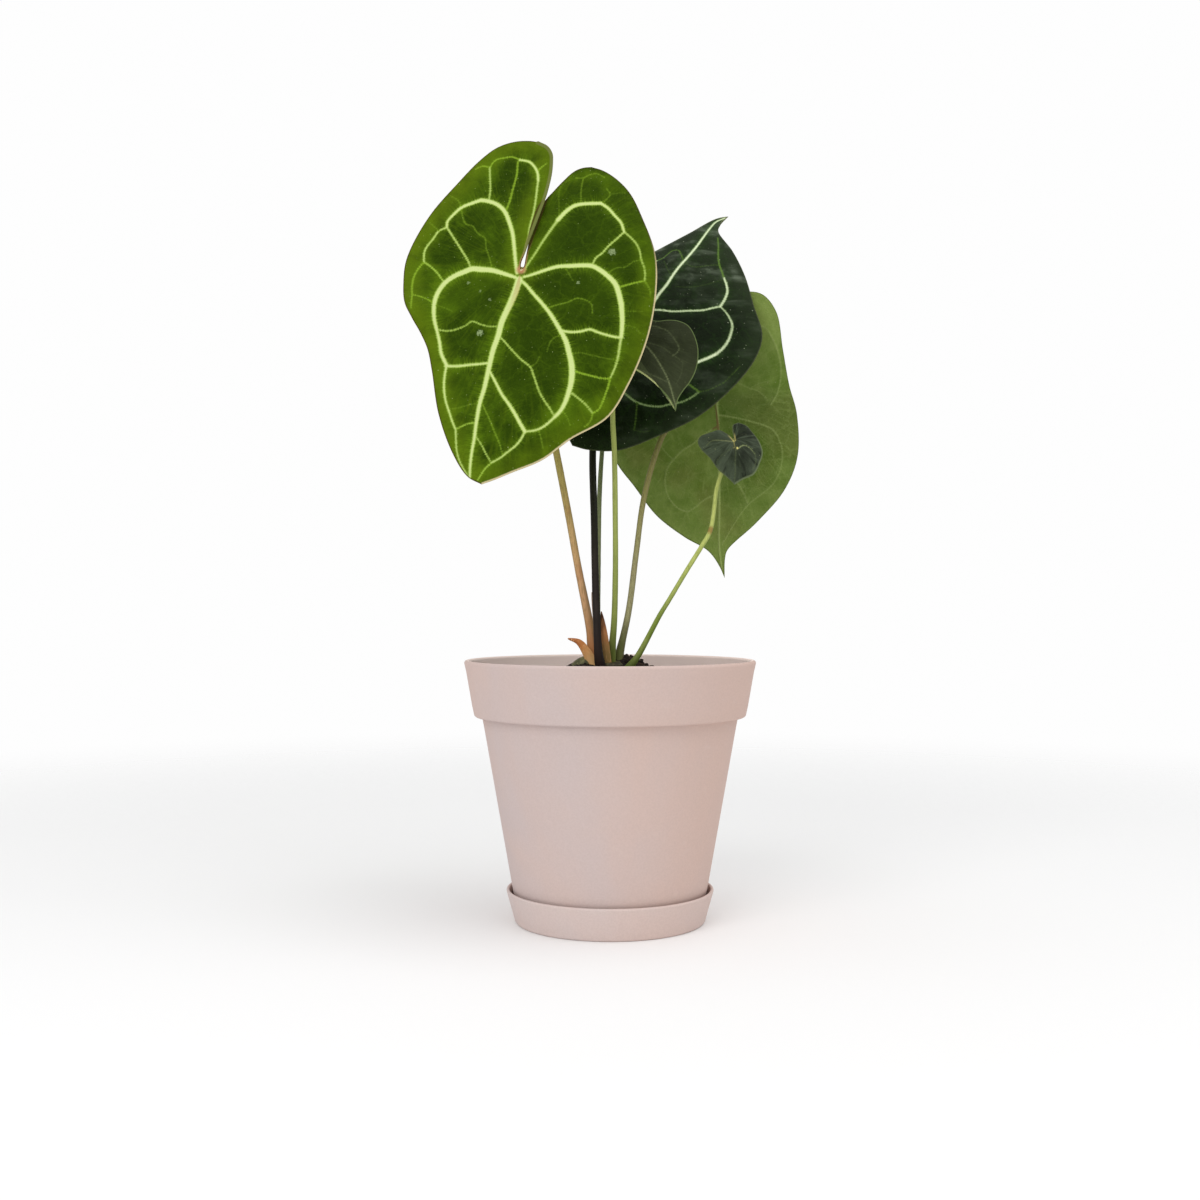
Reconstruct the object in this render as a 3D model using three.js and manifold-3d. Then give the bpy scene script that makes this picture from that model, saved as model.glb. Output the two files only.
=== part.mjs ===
// Young Anthurium clarinervium in a round pot that stands in its saucer.
// Millimetres, +Z up. The origin is the centre of the saucer's underside, and the front faces -Y.
import * as THREE from 'three';
import { mergeVertices } from 'three/addons/utils/BufferGeometryUtils.js';
import Module from 'manifold-3d';

const wasm = await Module();
wasm.setup();

// Driving dimensions of the holder
const CLEARANCE = 0.3;
const ROUND_SIDES = 48;
const POT = {
  rimRadius: 90,
  rimHeight: 161,
  collarFootRadius: 84,
  collarFootHeight: 126.5,
  neckRadius: 79,
  footRadius: 57,
  footHeight: 2.3,
  wall: 3,
  edgeRound: 2,
  drainRadius: 7,
};
const SAUCER = { rimRadius: 64, rimHeight: 20.2, footRadius: 59, wall: 2, edgeRound: 1.5 };
const SOIL = { wallHeight: 148, moundRise: 17, moundWidth: 36, lumps: 1.2 };
const CHIPS = { count: 26, longest: 11, shortest: 5, thickness: 3, nearest: 15, furthest: 78 };

// Driving dimensions of the plant
const CROWN = { radius: 10.5, bottom: 121, top: 165, scarHeight: 0.9, scarSpacing: 6 };
const BUD = { centre: [-16, -2, 158.5], radius: 6, stretch: 1.5 };
const ROOTS = { count: 6, radius: 1.8, knobRadius: 8, knobHeight: 112.6, reach: 40, depth: 30 };
const BLADE = { thickness: 0.7, ribAbove: 0.3, ribBelow: 0.8, stalkGap: 0.8 };

// Seeded random numbers, the same on every run
function makeRandom(seed) {
  let state = seed;
  return () => {
    state = (state * 1664525 + 1013904223) % 4294967296;
    return state / 4294967296;
  };
}

function smoothStep(value) {
  const t = Math.min(Math.max(value, 0), 1);
  return t * t * (3 - 2 * t);
}

// Merges shared vertices, drops flat triangles and turns the faces outwards.
function weld(geometry) {
  geometry.deleteAttribute('normal');
  geometry.deleteAttribute('uv');
  const merged = mergeVertices(geometry, 1e-4);
  const position = merged.getAttribute('position');
  const index = merged.getIndex().array;
  const kept = [];
  let volume = 0;
  const [a, b, c] = [new THREE.Vector3(), new THREE.Vector3(), new THREE.Vector3()];
  for (let i = 0; i < index.length; i += 3) {
    const [u, v, w] = [index[i], index[i + 1], index[i + 2]];
    if (u === v || v === w || w === u) {
      continue;
    }
    a.fromBufferAttribute(position, u);
    b.fromBufferAttribute(position, v);
    c.fromBufferAttribute(position, w);
    volume += a.dot(b.cross(c));
    kept.push(u, v, w);
  }
  if (volume < 0) {
    kept.reverse();
  }
  merged.setIndex(kept);
  return merged;
}

function toManifold(geometry) {
  const welded = weld(geometry);
  return new wasm.Manifold(new wasm.Mesh({
    numProp: 3,
    vertProperties: new Float32Array(welded.getAttribute('position').array),
    triVerts: new Uint32Array(welded.getIndex().array),
  }));
}

function toGeometry(solid) {
  const mesh = solid.getMesh();
  const geometry = new THREE.BufferGeometry();
  geometry.setAttribute('position', new THREE.BufferAttribute(mesh.vertProperties, 3));
  geometry.setIndex(new THREE.BufferAttribute(mesh.triVerts, 1));
  return geometry;
}

// A turned shape: profile points are [radius, height].
function turned(profile, sides = ROUND_SIDES) {
  const points = profile.map(([radius, height]) => new THREE.Vector2(radius, height));
  return new THREE.LatheGeometry(points, sides).rotateX(Math.PI / 2);
}

// A quarter-round corner between two directions, as profile points.
function roundCorner(radius, height, size, fromAngle, toAngle, steps = 2) {
  return Array.from({ length: steps + 1 }, (_, i) => {
    const angle = THREE.MathUtils.degToRad(fromAngle + ((toAngle - fromAngle) * i) / steps);
    return [radius + size * Math.cos(angle), height + size * Math.sin(angle)];
  });
}

// A round stem along a route, with caps. radiusAt takes 0 at the start and 1 at the end. flat
// gives a flattened stem its thickness and the direction that its broad side faces.
function stem(route, radiusAt, { sides = 8, steps = 20, flat = null } = {}) {
  const spots = route.map((spot) => new THREE.Vector3(...spot));
  const curve = new THREE.CatmullRomCurve3(spots, false, 'centripetal');
  const frames = curve.computeFrenetFrames(steps, false);
  const positions = [];
  const index = [];
  for (let i = 0; i <= steps; i += 1) {
    const t = i / steps;
    const centre = curve.getPointAt(t);
    let across = frames.normals[i];
    let other = frames.binormals[i];
    let squeeze = 1;
    if (flat) {
      across = new THREE.Vector3().crossVectors(frames.tangents[i], flat.facing).normalize();
      other = new THREE.Vector3().crossVectors(across, frames.tangents[i]);
      squeeze = flat.thickness / (2 * radiusAt(t));
    }
    for (let k = 0; k < sides; k += 1) {
      const angle = (2 * Math.PI * k) / sides;
      const point = centre.clone()
        .addScaledVector(across, radiusAt(t) * Math.cos(angle))
        .addScaledVector(other, radiusAt(t) * Math.sin(angle) * squeeze);
      positions.push(...point.toArray());
    }
  }
  for (let i = 0; i < steps; i += 1) {
    for (let k = 0; k < sides; k += 1) {
      const next = (k + 1) % sides;
      const [a, b] = [i * sides + k, i * sides + next];
      index.push(a, b, b + sides, a, b + sides, a + sides);
    }
  }
  for (let k = 1; k < sides - 1; k += 1) {
    const last = steps * sides;
    index.push(0, k + 1, k, last, last + k, last + k + 1);
  }
  const geometry = new THREE.BufferGeometry();
  geometry.setAttribute('position', new THREE.Float32BufferAttribute(positions, 3));
  geometry.setIndex(index);
  return geometry;
}

// Saucer: a shallow round tray with a flaring wall.
function saucerGeometry() {
  const { rimRadius, rimHeight, footRadius, wall, edgeRound } = SAUCER;
  return turned([
    [0, 0],
    ...roundCorner(footRadius - edgeRound, edgeRound, edgeRound, -90, 0),
    ...roundCorner(rimRadius - wall / 2, rimHeight - wall / 2, wall / 2, 0, 180, 4),
    ...roundCorner(footRadius - wall - edgeRound, wall + edgeRound, edgeRound, 0, -90),
    [0, wall],
  ]);
}

// Pot: a tapered body with a tall flared collar, a drain hole in its floor and open at the top.
function potInside(extra = 0) {
  const { rimRadius, rimHeight, collarFootRadius, collarFootHeight, neckRadius, wall } = POT;
  const { footRadius, footHeight, edgeRound } = POT;
  const floorHeight = footHeight + wall;
  return {
    floorHeight: floorHeight + extra,
    floorRadius: footRadius - wall - edgeRound - extra,
    cornerRadius: footRadius - wall - extra,
    cornerHeight: floorHeight + edgeRound,
    neckRadius: neckRadius - wall - extra,
    neckHeight: collarFootHeight + wall / 2,
    shelfRadius: collarFootRadius - wall - extra,
    shelfHeight: collarFootHeight + wall,
    rimRadius: rimRadius - wall - extra,
    rimHeight,
  };
}

function potGeometry() {
  const { rimRadius, rimHeight, collarFootRadius, collarFootHeight, neckRadius, wall } = POT;
  const { footRadius, footHeight, edgeRound, drainRadius } = POT;
  const inside = potInside();
  return turned([
    [drainRadius, footHeight],
    ...roundCorner(footRadius - edgeRound, footHeight + edgeRound, edgeRound, -90, 0),
    [neckRadius, collarFootHeight],
    ...roundCorner(collarFootRadius - edgeRound, collarFootHeight + edgeRound, edgeRound, -90, 0),
    ...roundCorner(rimRadius - wall / 2, rimHeight - wall / 2, wall / 2, 0, 180, 4),
    [inside.shelfRadius, inside.shelfHeight],
    [inside.neckRadius, inside.neckHeight],
    [inside.cornerRadius, inside.cornerHeight],
    [inside.floorRadius, inside.floorHeight],
    [drainRadius, inside.floorHeight],
    [drainRadius, footHeight],
  ]);
}

// Crown: the short thick stem, ringed by the scars of old leaves, with a resting bud at its left.
function crownSolid(extra = 0) {
  const { radius, bottom, top, scarHeight, scarSpacing } = CROWN;
  const height = top - bottom;
  const profile = [[0, bottom - extra]];
  for (let z = bottom; z < top; z += scarSpacing / 2) {
    const t = (z - bottom) / height;
    const body = radius * Math.sqrt(1 - Math.pow(2 * t - 1, 6) * 0.6);
    const scar = scarHeight * Math.max(0, Math.cos((2 * Math.PI * (z - bottom)) / scarSpacing));
    profile.push([body + scar + extra, z]);
  }
  profile.push([radius * 0.45 + extra, top], [0, top + 1 + extra]);
  const bud = new THREE.IcosahedronGeometry(BUD.radius + extra, 1)
    .scale(BUD.stretch, 1, 1)
    .rotateY(-0.3)
    .translate(...BUD.centre);
  return toManifold(turned(profile, 18)).add(toManifold(bud));
}

// Roots: fleshy roots that leave a knob under the crown and wander down through the soil.
function rootsSolid(extra = 0) {
  const { count, radius, knobRadius, knobHeight, reach, depth } = ROOTS;
  const random = makeRandom(7);
  const knob = new THREE.IcosahedronGeometry(knobRadius + extra, 1).translate(0, 0, knobHeight);
  let solid = toManifold(knob);
  for (let i = 0; i < count; i += 1) {
    const angle = (2 * Math.PI * (i + 0.5 * random())) / count;
    const turn = (random() - 0.5) * 1.2;
    const spot = (share, z, swing) => [
      reach * share * Math.cos(angle + swing * turn),
      reach * share * Math.sin(angle + swing * turn),
      z,
    ];
    const low = depth + 20 * random();
    const route = [
      spot(0.05, knobHeight, 0),
      spot(0.35, knobHeight - 8, 0.2),
      spot(0.8, (knobHeight + low) / 2, 0.6),
      spot(1, low, 1),
    ];
    const root = stem(route, (t) => radius * (1 - 0.5 * t) + extra, { sides: 5, steps: 8 });
    solid = solid.add(toManifold(root));
  }
  return solid;
}

// Leaf stalks: route from inside the crown to just under the leaf's joint.
// Each is thickest at its foot, thins upwards and swells again at the joint under the blade.
const STALKS = {
  stalk_1: {
    route: [[-5, 1, 149], [-10.5, 1, 167], [-12.4, 0, 181], [-19.5, -5, 217], [-24.9, -10, 247],
      [-32.9, -15, 288.4], [-39.6, -18, 321.6], [-47, -17, 360], [-51.6, -18, 384], [-53.2, -25, 392.6]],
    foot: 2.9, middle: 2.1, top: 1.9, joint: 2.6, leaf: 'leaf_1',
  },
  stalk_2: {
    route: [[-3, -4, 148], [-6.6, -11, 161], [-8.2, -9.5, 186], [-9.2, -4, 217], [-9.8, 3, 248],
      [-10.8, 19, 292], [-9, 30, 318], [-3.5, 41, 340], [0.5, 44, 349]],
    foot: 2.7, middle: 2.2, top: 2.2, joint: 2.7, leaf: 'leaf_2',
  },
  stalk_3: {
    route: [[-3, 4, 148], [-7, 10.5, 162], [-7.6, 13, 191], [-7.3, 18, 217], [-6.7, 34, 261],
      [-5, 54, 294], [-3.6, 66, 310], [-1.4, 69, 321]],
    foot: 2.2, middle: 1.6, top: 1.4, joint: 1.7, leaf: 'leaf_6',
  },
  stalk_4: {
    route: [[0, 0, 150], [0.9, -1, 164], [2.6, -3, 186], [3.3, -6, 217], [3.2, -8, 247],
      [2.6, -10, 288.6], [1.6, -10, 310], [2, -8.5, 335], [4.2, -6.5, 354]],
    foot: 2.5, middle: 1.65, top: 1.5, joint: 1.8, leaf: 'leaf_4',
  },
  stalk_5: {
    route: [[3, 3, 149], [6.2, 6, 165.5], [11.8, 10, 191.3], [16.7, 16, 228], [21.6, 25, 262],
      [30, 38, 293], [37, 48, 309], [54, 62, 328], [67, 72, 337]],
    foot: 2.5, middle: 1.8, top: 1.65, joint: 2.3, leaf: 'leaf_3',
  },
  stalk_6: {
    route: [[5, -3, 148], [11.5, -5.5, 156], [17.1, -7, 163.6], [30.6, -8.5, 188.8], [36.2, -9, 198],
      [47.2, -9, 216.4], [56.4, -8, 231.2], [61.6, -6.5, 240.5], [64.3, -4, 254.5], [65.8, -2, 265.7],
      [69, 0, 276.5], [73.6, 0.5, 288]],
    foot: 2.4, middle: 1.55, top: 1.3, joint: 1.6, leaf: 'leaf_5',
  },
};

// Papery scales: dry sheaths of old leaves that stand round the crown.
const SCALES = {
  scale_left: {
    route: [[-5, -3, 153], [-11.5, -5, 163], [-18.5, -6, 172.2], [-26, -6, 174.3]],
    width: 7.5, thickness: 1.4, facing: [-0.35, -0.75, 0.55], color: 0xc98a4e,
  },
  scale_right: {
    route: [[-1, -4.5, 152], [-2.2, -6.2, 163], [-3.4, -6.4, 176], [-5.4, -6, 191]],
    width: 7, thickness: 1.2, facing: [0.1, -1, 0.1], color: 0xa9653a,
  },
  scale_back: {
    route: [[-4, 4.5, 152], [-6.4, 6, 163], [-8.6, 5.6, 182], [-11.3, 4.5, 203]],
    width: 5, thickness: 1.1, facing: [-0.2, -1, 0], color: 0x8f7560,
  },
};

function scaleGeometry({ route, width, thickness, facing }, extra = 0) {
  const halfWidth = (t) => (width / 2) * Math.sqrt(1.02 - t) * (0.75 + 0.7 * t) + extra;
  const flat = { facing: new THREE.Vector3(...facing).normalize(), thickness: thickness + 2 * extra };
  return stem(route, halfWidth, { sides: 8, steps: 10, flat });
}

// Leaves. Each blade is drawn flat, in millimetres across and along its midrib from the joint
// where the stalk meets it: the margin runs from the tip to the top of the lobe, and the sinus from
// the joint to the top of the lobe. along and facing turn it in space, and bend shapes it.
const PLAIN_HALF = {
  margin: [[0, 1], [0.05, 0.9], [0.2, 0.78], [0.4, 0.56], [0.54, 0.3], [0.6, 0.02], [0.55, -0.27],
    [0.42, -0.49], [0.26, -0.57]],
  sinus: [[0, 0], [0.035, -0.2], [0.07, -0.38], [0.15, -0.52], [0.26, -0.57]],
  turn: 0.62,
};

function mirrored(half) {
  const flip = ([p, q]) => [-p, q];
  return { margin: half.margin.map(flip), sinus: half.sinus.map(flip), turn: half.turn };
}

function scaledHalf(half, size) {
  const grow = ([p, q]) => [p * size, q * size];
  return { margin: half.margin.map(grow), sinus: half.sinus.map(grow), turn: half.turn };
}

const LEAVES = {
  leaf_1: {
    joint: [-53.4, -32, 395.2], along: [-0.15, -0.31, -0.94], facing: [-0.05, -0.95, 0.32],
    length: 138, color: 0x4a7a1e, large: true,
    bend: {
      roofRight: 0.06, roofLeft: 0.06, ridge: 6, curl: 0.05, nod: 0.06, wave: 3, waves: 4, phase: 0.6,
    },
    fold: { p: -62, q: 34, size: 13, depth: 5 },
    lap: 1.6,
    right: {
      margin: [[0, 138], [6, 135], [16, 129], [32, 119], [46, 104], [65, 87], [74, 65], [81, 34], [82, 4],
        [78, -22], [67, -47], [53, -69], [40, -78], [28, -80.5]],
      sinus: [[0, 0], [2.2, -15], [3, -28], [5, -42], [8, -53], [14.5, -69], [20.5, -76.5], [28, -80.5]],
      turn: 0.62,
    },
    left: {
      margin: [[0, 138], [-9, 134], [-20, 121], [-33, 97], [-42, 75], [-49, 56], [-54, 46], [-65, 33],
        [-70, 13], [-71, -2], [-63, -33], [-51, -58], [-39, -77], [-20, -91], [-8, -94.5]],
      sinus: [[0, 0], [0.7, -15], [1.5, -28], [3.5, -42], [5.8, -55], [6.7, -69], [6.2, -80], [2.5, -90],
        [-8, -94.5]],
      turn: 0.57,
    },
  },
  leaf_2: {
    joint: [2.2, 35, 356.7], along: [0.49, 0.34, 0.8], facing: [-0.16, -0.87, 0.47],
    length: 156, color: 0x1c3320, large: true,
    bend: {
      roofRight: 0.45, roofLeft: 0.2, ridge: 10, curl: 0.2, nod: 0.06, wave: 2, waves: 4, phase: 0,
    },
    right: {
      margin: [[0, 156], [6, 149], [14, 127], [24, 108], [38, 86], [54, 60], [63, 32], [65, 4], [61, -26],
        [50, -52], [34, -68], [20, -73]],
      sinus: [[0, 0], [2.5, -16], [4.5, -34], [8, -52], [13, -66], [20, -73]],
      turn: 0.64,
    },
    left: {
      margin: [[0, 156], [-1, 143], [-4, 135], [-22, 122], [-40, 105], [-58, 83], [-75, 62], [-80, 41],
        [-78, 16], [-69, -14], [-55, -37], [-37, -60], [-20, -69], [-10, -71]],
      sinus: [[0, 0], [-1.5, -16], [-2.5, -34], [-2.5, -52], [-4.5, -66], [-10, -71]],
      turn: 0.62,
    },
  },
  leaf_3: {
    joint: [71.5, 86, 338.4], along: [0.07, 0.13, -0.99], facing: [0.12, 0.96, 0.14],
    length: 126, color: 0x7c9a4a, large: true,
    bend: {
      roofRight: 0.1, roofLeft: 0.1, ridge: 8, curl: 0.05, nod: 0.05, wave: 2, waves: 5, phase: 1,
    },
    right: {
      margin: [[0, 126], [3, 118], [10, 107], [26, 96], [44, 80], [58, 59], [69, 42], [74, 22], [75, -2],
        [69, -30], [56, -52], [40, -65], [24, -68]],
      sinus: [[0, 0], [2.5, -14], [5, -30], [8, -46], [14, -60], [24, -68]],
      turn: 0.6,
    },
    left: {
      margin: [[0, 126], [-1, 113], [-3, 107], [-24, 89], [-44, 68], [-54, 46], [-55, 17], [-51, -2],
        [-48, -26], [-45, -51], [-37, -63], [-28, -66], [-20, -64]],
      sinus: [[0, 0], [-2.5, -14], [-4.5, -30], [-7, -46], [-11, -57], [-20, -64]],
      turn: 0.6,
    },
  },
  leaf_4: {
    joint: [4.8, -14, 362.8], along: [0.56, -0.18, -0.81], facing: [-0.06, -0.97, 0.22],
    length: 62, color: 0x3a3d33, large: false,
    bend: {
      roofRight: 0.15, roofLeft: 0.15, ridge: 5, curl: 0.05, nod: 0.05, wave: 1, waves: 3, phase: 0,
    },
    right: {
      margin: [[0, 62], [8, 53], [17, 52], [27, 45], [36, 32], [37, 19], [32, 10], [23, -7], [16, -19],
        [10, -22]],
      sinus: [[0, 0], [1.8, -8], [3.5, -15], [6, -20], [10, -22]],
      turn: 0.68,
    },
    left: {
      margin: [[0, 62], [1, 54], [-1, 40], [-6, 26], [-14, 15], [-21, 4], [-22, -9], [-17, -20],
        [-10, -23]],
      sinus: [[0, 0], [-1.8, -8], [-3.5, -15], [-6, -21], [-10, -23]],
      turn: 0.62,
    },
  },
  leaf_5: {
    joint: [76.3, -6, 296.5], along: [-0.03, -0.49, -0.87], facing: [0, -0.87, 0.49],
    length: 32, color: 0x26361f, large: false,
    bend: {
      roofRight: 0.3, roofLeft: 0.3, ridge: 4, curl: 0.05, nod: 0.2, wave: 0.5, waves: 3, phase: 0,
    },
    right: {
      margin: [[0, 32], [5, 28], [12, 23], [16, 14], [18, 6], [16, -2], [12, -8], [8, -13], [3, -14.5]],
      sinus: [[0, 0], [-0.4, -4], [-0.8, -8], [-0.4, -12], [3, -14.5]],
      turn: 0.6,
    },
    left: {
      margin: [[0, 32], [-5, 26], [-10, 20], [-15, 11], [-20, 4], [-22, -2], [-20, -6], [-14, -8]],
      sinus: [[0, 0], [-2.5, -3.5], [-5, -6], [-9, -9], [-14, -8]],
      turn: 0.68,
    },
  },
  leaf_6: {
    joint: [-1, 60, 327], along: [-0.15, 0.3, 0.94], facing: [0.05, -0.93, 0.3],
    length: 40, color: 0x4d6a38, large: false,
    bend: {
      roofRight: 0.2, roofLeft: 0.2, ridge: 4, curl: 0.1, nod: 0.1, wave: 0.8, waves: 3, phase: 0,
    },
    right: scaledHalf(PLAIN_HALF, 40),
    left: mirrored(scaledHalf(PLAIN_HALF, 40)),
  },
};

// Where the ribs lie. Columns cross the blade from the midrib to the margin: 0 is the tip, 1 the
// joint and 2 the top of the lobe. Rows run along it: 0 is the midrib or sinus and 1 the margin.
const LARGE_GRID = {
  ribs: [0.16, 0.34, 0.54, 0.76, 1, 1.36, 1.7],
  between: [0.06, 0.25, 0.44, 0.65, 0.88, 1.18, 1.53, 1.86],
  flank: 0.028,
  rows: [0, 0.045, 0.3, 0.54, 0.71, 0.76, 0.81, 1],
  marginRib: 0.76,
  flatJoint: 4,
};
const SMALL_GRID = {
  ribs: [0.3, 0.62, 1, 1.5],
  between: [0.12, 0.8, 1.25, 1.8],
  flank: 0.05,
  rows: [0, 0.09, 0.45, 0.72, 1],
  marginRib: 0.72,
  flatJoint: 2.5,
};

// Turns a leaf's flat places into places in space.
class Blade {
  constructor(leaf) {
    this.leaf = leaf;
    this.origin = new THREE.Vector3(...leaf.joint);
    this.along = new THREE.Vector3(...leaf.along).normalize();
    this.up = new THREE.Vector3(...leaf.facing);
    this.up.addScaledVector(this.along, -this.up.dot(this.along)).normalize();
    this.across = new THREE.Vector3().crossVectors(this.up, this.along);
  }

  height(p, q, side) {
    const { bend, length, fold, lap } = this.leaf;
    const roof = p > 0 ? bend.roofRight : bend.roofLeft;
    let h = -roof * (Math.hypot(p, bend.ridge) - bend.ridge);
    h -= ((q > 0 ? bend.curl : bend.nod) * q * q) / length;
    const swell = bend.wave * Math.pow(Math.hypot(p, q) / length, 3);
    h += swell * Math.sin(bend.waves * Math.atan2(p, q) + bend.phase);
    if (fold) {
      h += fold.depth * Math.exp(-((p - fold.p) ** 2 + (q - fold.q) ** 2) / fold.size ** 2);
    }
    if (lap) {
      h -= side * lap * smoothStep(-q / 20) * Math.exp(-Math.abs(p) / 25);
    }
    return h;
  }

  place(p, q, side, offset) {
    const step = 0.05;
    const h = this.height(p, q, side);
    const slopeP = (this.height(p + step, q, side) - h) / step;
    const slopeQ = (this.height(p, q + step, side) - h) / step;
    const normal = this.up.clone()
      .addScaledVector(this.across, -slopeP)
      .addScaledVector(this.along, -slopeQ)
      .normalize();
    return this.origin.clone()
      .addScaledVector(this.across, p)
      .addScaledVector(this.along, q)
      .addScaledVector(this.up, h)
      .addScaledVector(normal, offset);
  }
}

function outlineCurve(points) {
  const spots = points.map(([p, q]) => new THREE.Vector3(p, q, 0));
  return new THREE.CatmullRomCurve3(spots, false, 'centripetal');
}

// One half of a flat blade: the place on column w and row v.
function halfPlacer(half, length) {
  const margin = outlineCurve(half.margin);
  const sinus = outlineCurve(half.sinus);
  return (w, v) => {
    const lobe = Math.max(0, w - 1);
    const outer = margin.getPointAt(w < 1 ? w * half.turn : half.turn + lobe * (1 - half.turn));
    const inner = w < 1 ? new THREE.Vector3(0, length * (1 - w), 0) : sinus.getPointAt(lobe);
    return inner.lerp(outer, v);
  };
}

// How far the ribs stand out at column w and row v, from 0 to 1.
function ribRelief(w, v, onRib, grid) {
  const fade = smoothStep(w / 0.12) * smoothStep((2 - w) / 0.25);
  const midrib = v === 0 && w < 1 ? smoothStep((1 - w) / 0.08) : 0;
  const sideRib = onRib && v > 0 && v < grid.marginRib ? 0.8 : 0;
  const marginRib = v === grid.marginRib ? 0.8 : 0;
  return fade * Math.max(midrib, sideRib, marginRib);
}

function leafGeometry(leaf) {
  const blade = new Blade(leaf);
  const grid = leaf.large ? LARGE_GRID : SMALL_GRID;
  const columns = grid.between.map((w) => ({ w, rib: false }));
  for (const w of grid.ribs) {
    columns.push({ w: w - grid.flank, rib: false }, { w, rib: true }, { w: w + grid.flank, rib: false });
  }
  columns.sort((a, b) => a.w - b.w);
  const positions = [];
  const index = [];
  const addPoint = (flat, side, rib) => {
    const half = BLADE.thickness / 2;
    const relief = rib * smoothStep(Math.hypot(flat.x, flat.y) / grid.flatJoint - 1);
    positions.push(...blade.place(flat.x, flat.y, side, half + relief * BLADE.ribAbove).toArray());
    positions.push(...blade.place(flat.x, flat.y, side, -half - relief * BLADE.ribBelow).toArray());
    return positions.length / 6 - 1;
  };
  const addFace = (a, b, c, side) => {
    const [first, second] = side > 0 ? [b, c] : [c, b];
    index.push(2 * a, 2 * first, 2 * second, 2 * a + 1, 2 * second + 1, 2 * first + 1);
  };
  const addRim = (a, b, side) => {
    const [from, to] = side > 0 ? [a, b] : [b, a];
    index.push(2 * from, 2 * from + 1, 2 * to + 1, 2 * from, 2 * to + 1, 2 * to);
  };
  const tip = addPoint(new THREE.Vector3(0, leaf.length, 0), 0, 0);
  const midrib = new Map();
  for (const [side, half] of [[1, leaf.right], [-1, leaf.left]]) {
    const placeAt = halfPlacer(half, leaf.length);
    const strips = columns.map(({ w, rib }) => grid.rows.map((v) => {
      if (v === 0 && w <= 1 && midrib.has(w)) {
        return midrib.get(w);
      }
      const id = addPoint(placeAt(w, v), side, ribRelief(w, v, rib, grid));
      if (v === 0 && w <= 1) {
        midrib.set(w, id);
      }
      return id;
    }));
    const top = addPoint(placeAt(2, 1), side, 0);
    strips.unshift(grid.rows.map(() => tip));
    strips.push(grid.rows.map(() => top));
    const last = grid.rows.length - 1;
    for (let i = 0; i + 1 < strips.length; i += 1) {
      const [near, far] = [strips[i], strips[i + 1]];
      for (let j = 0; j < last; j += 1) {
        if (near[j] !== near[j + 1]) {
          addFace(near[j], near[j + 1], far[j + 1], side);
        }
        if (far[j] !== far[j + 1]) {
          addFace(near[j], far[j + 1], far[j], side);
        }
      }
      addRim(near[last], far[last], side);
      if (i > 0 && columns[i - 1].w >= 1) {
        addRim(far[0], near[0], side);
      }
    }
  }
  const geometry = new THREE.BufferGeometry();
  geometry.setAttribute('position', new THREE.Float32BufferAttribute(positions, 3));
  geometry.setIndex(index);
  return weld(geometry);
}

// A stalk ends square to the blade, just under its joint.
function stalkGeometry({ route, foot, middle, top, joint, leaf }, extra = 0) {
  const blade = new Blade(LEAVES[leaf]);
  const under = (distance) => blade.origin.clone().addScaledVector(blade.up, -distance).toArray();
  const full = [...route, under(3.5), under(BLADE.stalkGap)];
  const radiusAt = (t) => {
    const lower = (foot - middle) * Math.max(0, 1 - 2 * t) ** 1.5;
    const upper = (top - middle) * Math.max(0, 2 * t - 1);
    const swollen = (joint - top) * smoothStep((t - 0.93) / 0.05);
    return middle + lower + upper + swollen + extra;
  };
  return stem(full, radiusAt, { sides: 8, steps: 20 });
}

// Soil: fills the pot, rises to a mound at the crown and is covered with bark chips.
function soilSolid(holes) {
  const inside = potInside(CLEARANCE);
  const { wallHeight, moundRise, moundWidth, lumps } = SOIL;
  const surface = (r) => wallHeight + moundRise * Math.exp(-((r / moundWidth) ** 2));
  const wallRadius = THREE.MathUtils.mapLinear(
    wallHeight, inside.shelfHeight, inside.rimHeight, inside.shelfRadius, inside.rimRadius);
  const rings = [0.8, 0.58, 0.4, 0.26, 0.14]
    .map((share) => wallRadius * share)
    .map((radius) => [radius, surface(radius)]);
  const body = turned([
    [0, inside.floorHeight],
    [inside.floorRadius, inside.floorHeight],
    [inside.cornerRadius, inside.cornerHeight],
    [inside.neckRadius, inside.neckHeight],
    [inside.shelfRadius, inside.shelfHeight + CLEARANCE],
    [wallRadius, wallHeight],
    ...rings,
    [0, surface(0)],
  ], 32);
  const random = makeRandom(23);
  const welded = weld(body);
  const position = welded.getAttribute('position');
  for (let i = 0; i < position.count; i += 1) {
    const r = Math.hypot(position.getX(i), position.getY(i));
    if (position.getZ(i) >= wallHeight && r < wallRadius - 1) {
      position.setZ(i, position.getZ(i) + lumps * (2 * random() - 1));
    }
  }
  let solid = toManifold(welded);
  const { count, longest, shortest, thickness, nearest, furthest } = CHIPS;
  for (let i = 0; i < count; i += 1) {
    const r = nearest + (furthest - nearest) * Math.sqrt(random());
    const angle = 2 * Math.PI * random();
    const size = shortest + (longest - shortest) * random();
    const width = size * (0.45 + 0.3 * random());
    const height = thickness * (0.8 + 0.5 * random());
    const chip = new THREE.BoxGeometry(size, width, height)
      .rotateX((random() - 0.5) * 0.9)
      .rotateY((random() - 0.5) * 0.9)
      .rotateZ(Math.PI * random())
      .translate(r * Math.cos(angle), r * Math.sin(angle), surface(r) + 0.4);
    solid = solid.add(toManifold(chip));
  }
  for (const hole of holes) {
    solid = solid.subtract(hole);
  }
  return solid;
}

function named(name, geometry, { color, roughness = 0.6 }) {
  const material = new THREE.MeshStandardMaterial({ color, roughness, metalness: 0 });
  const mesh = new THREE.Mesh(geometry, material);
  mesh.name = name;
  return mesh;
}

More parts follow.
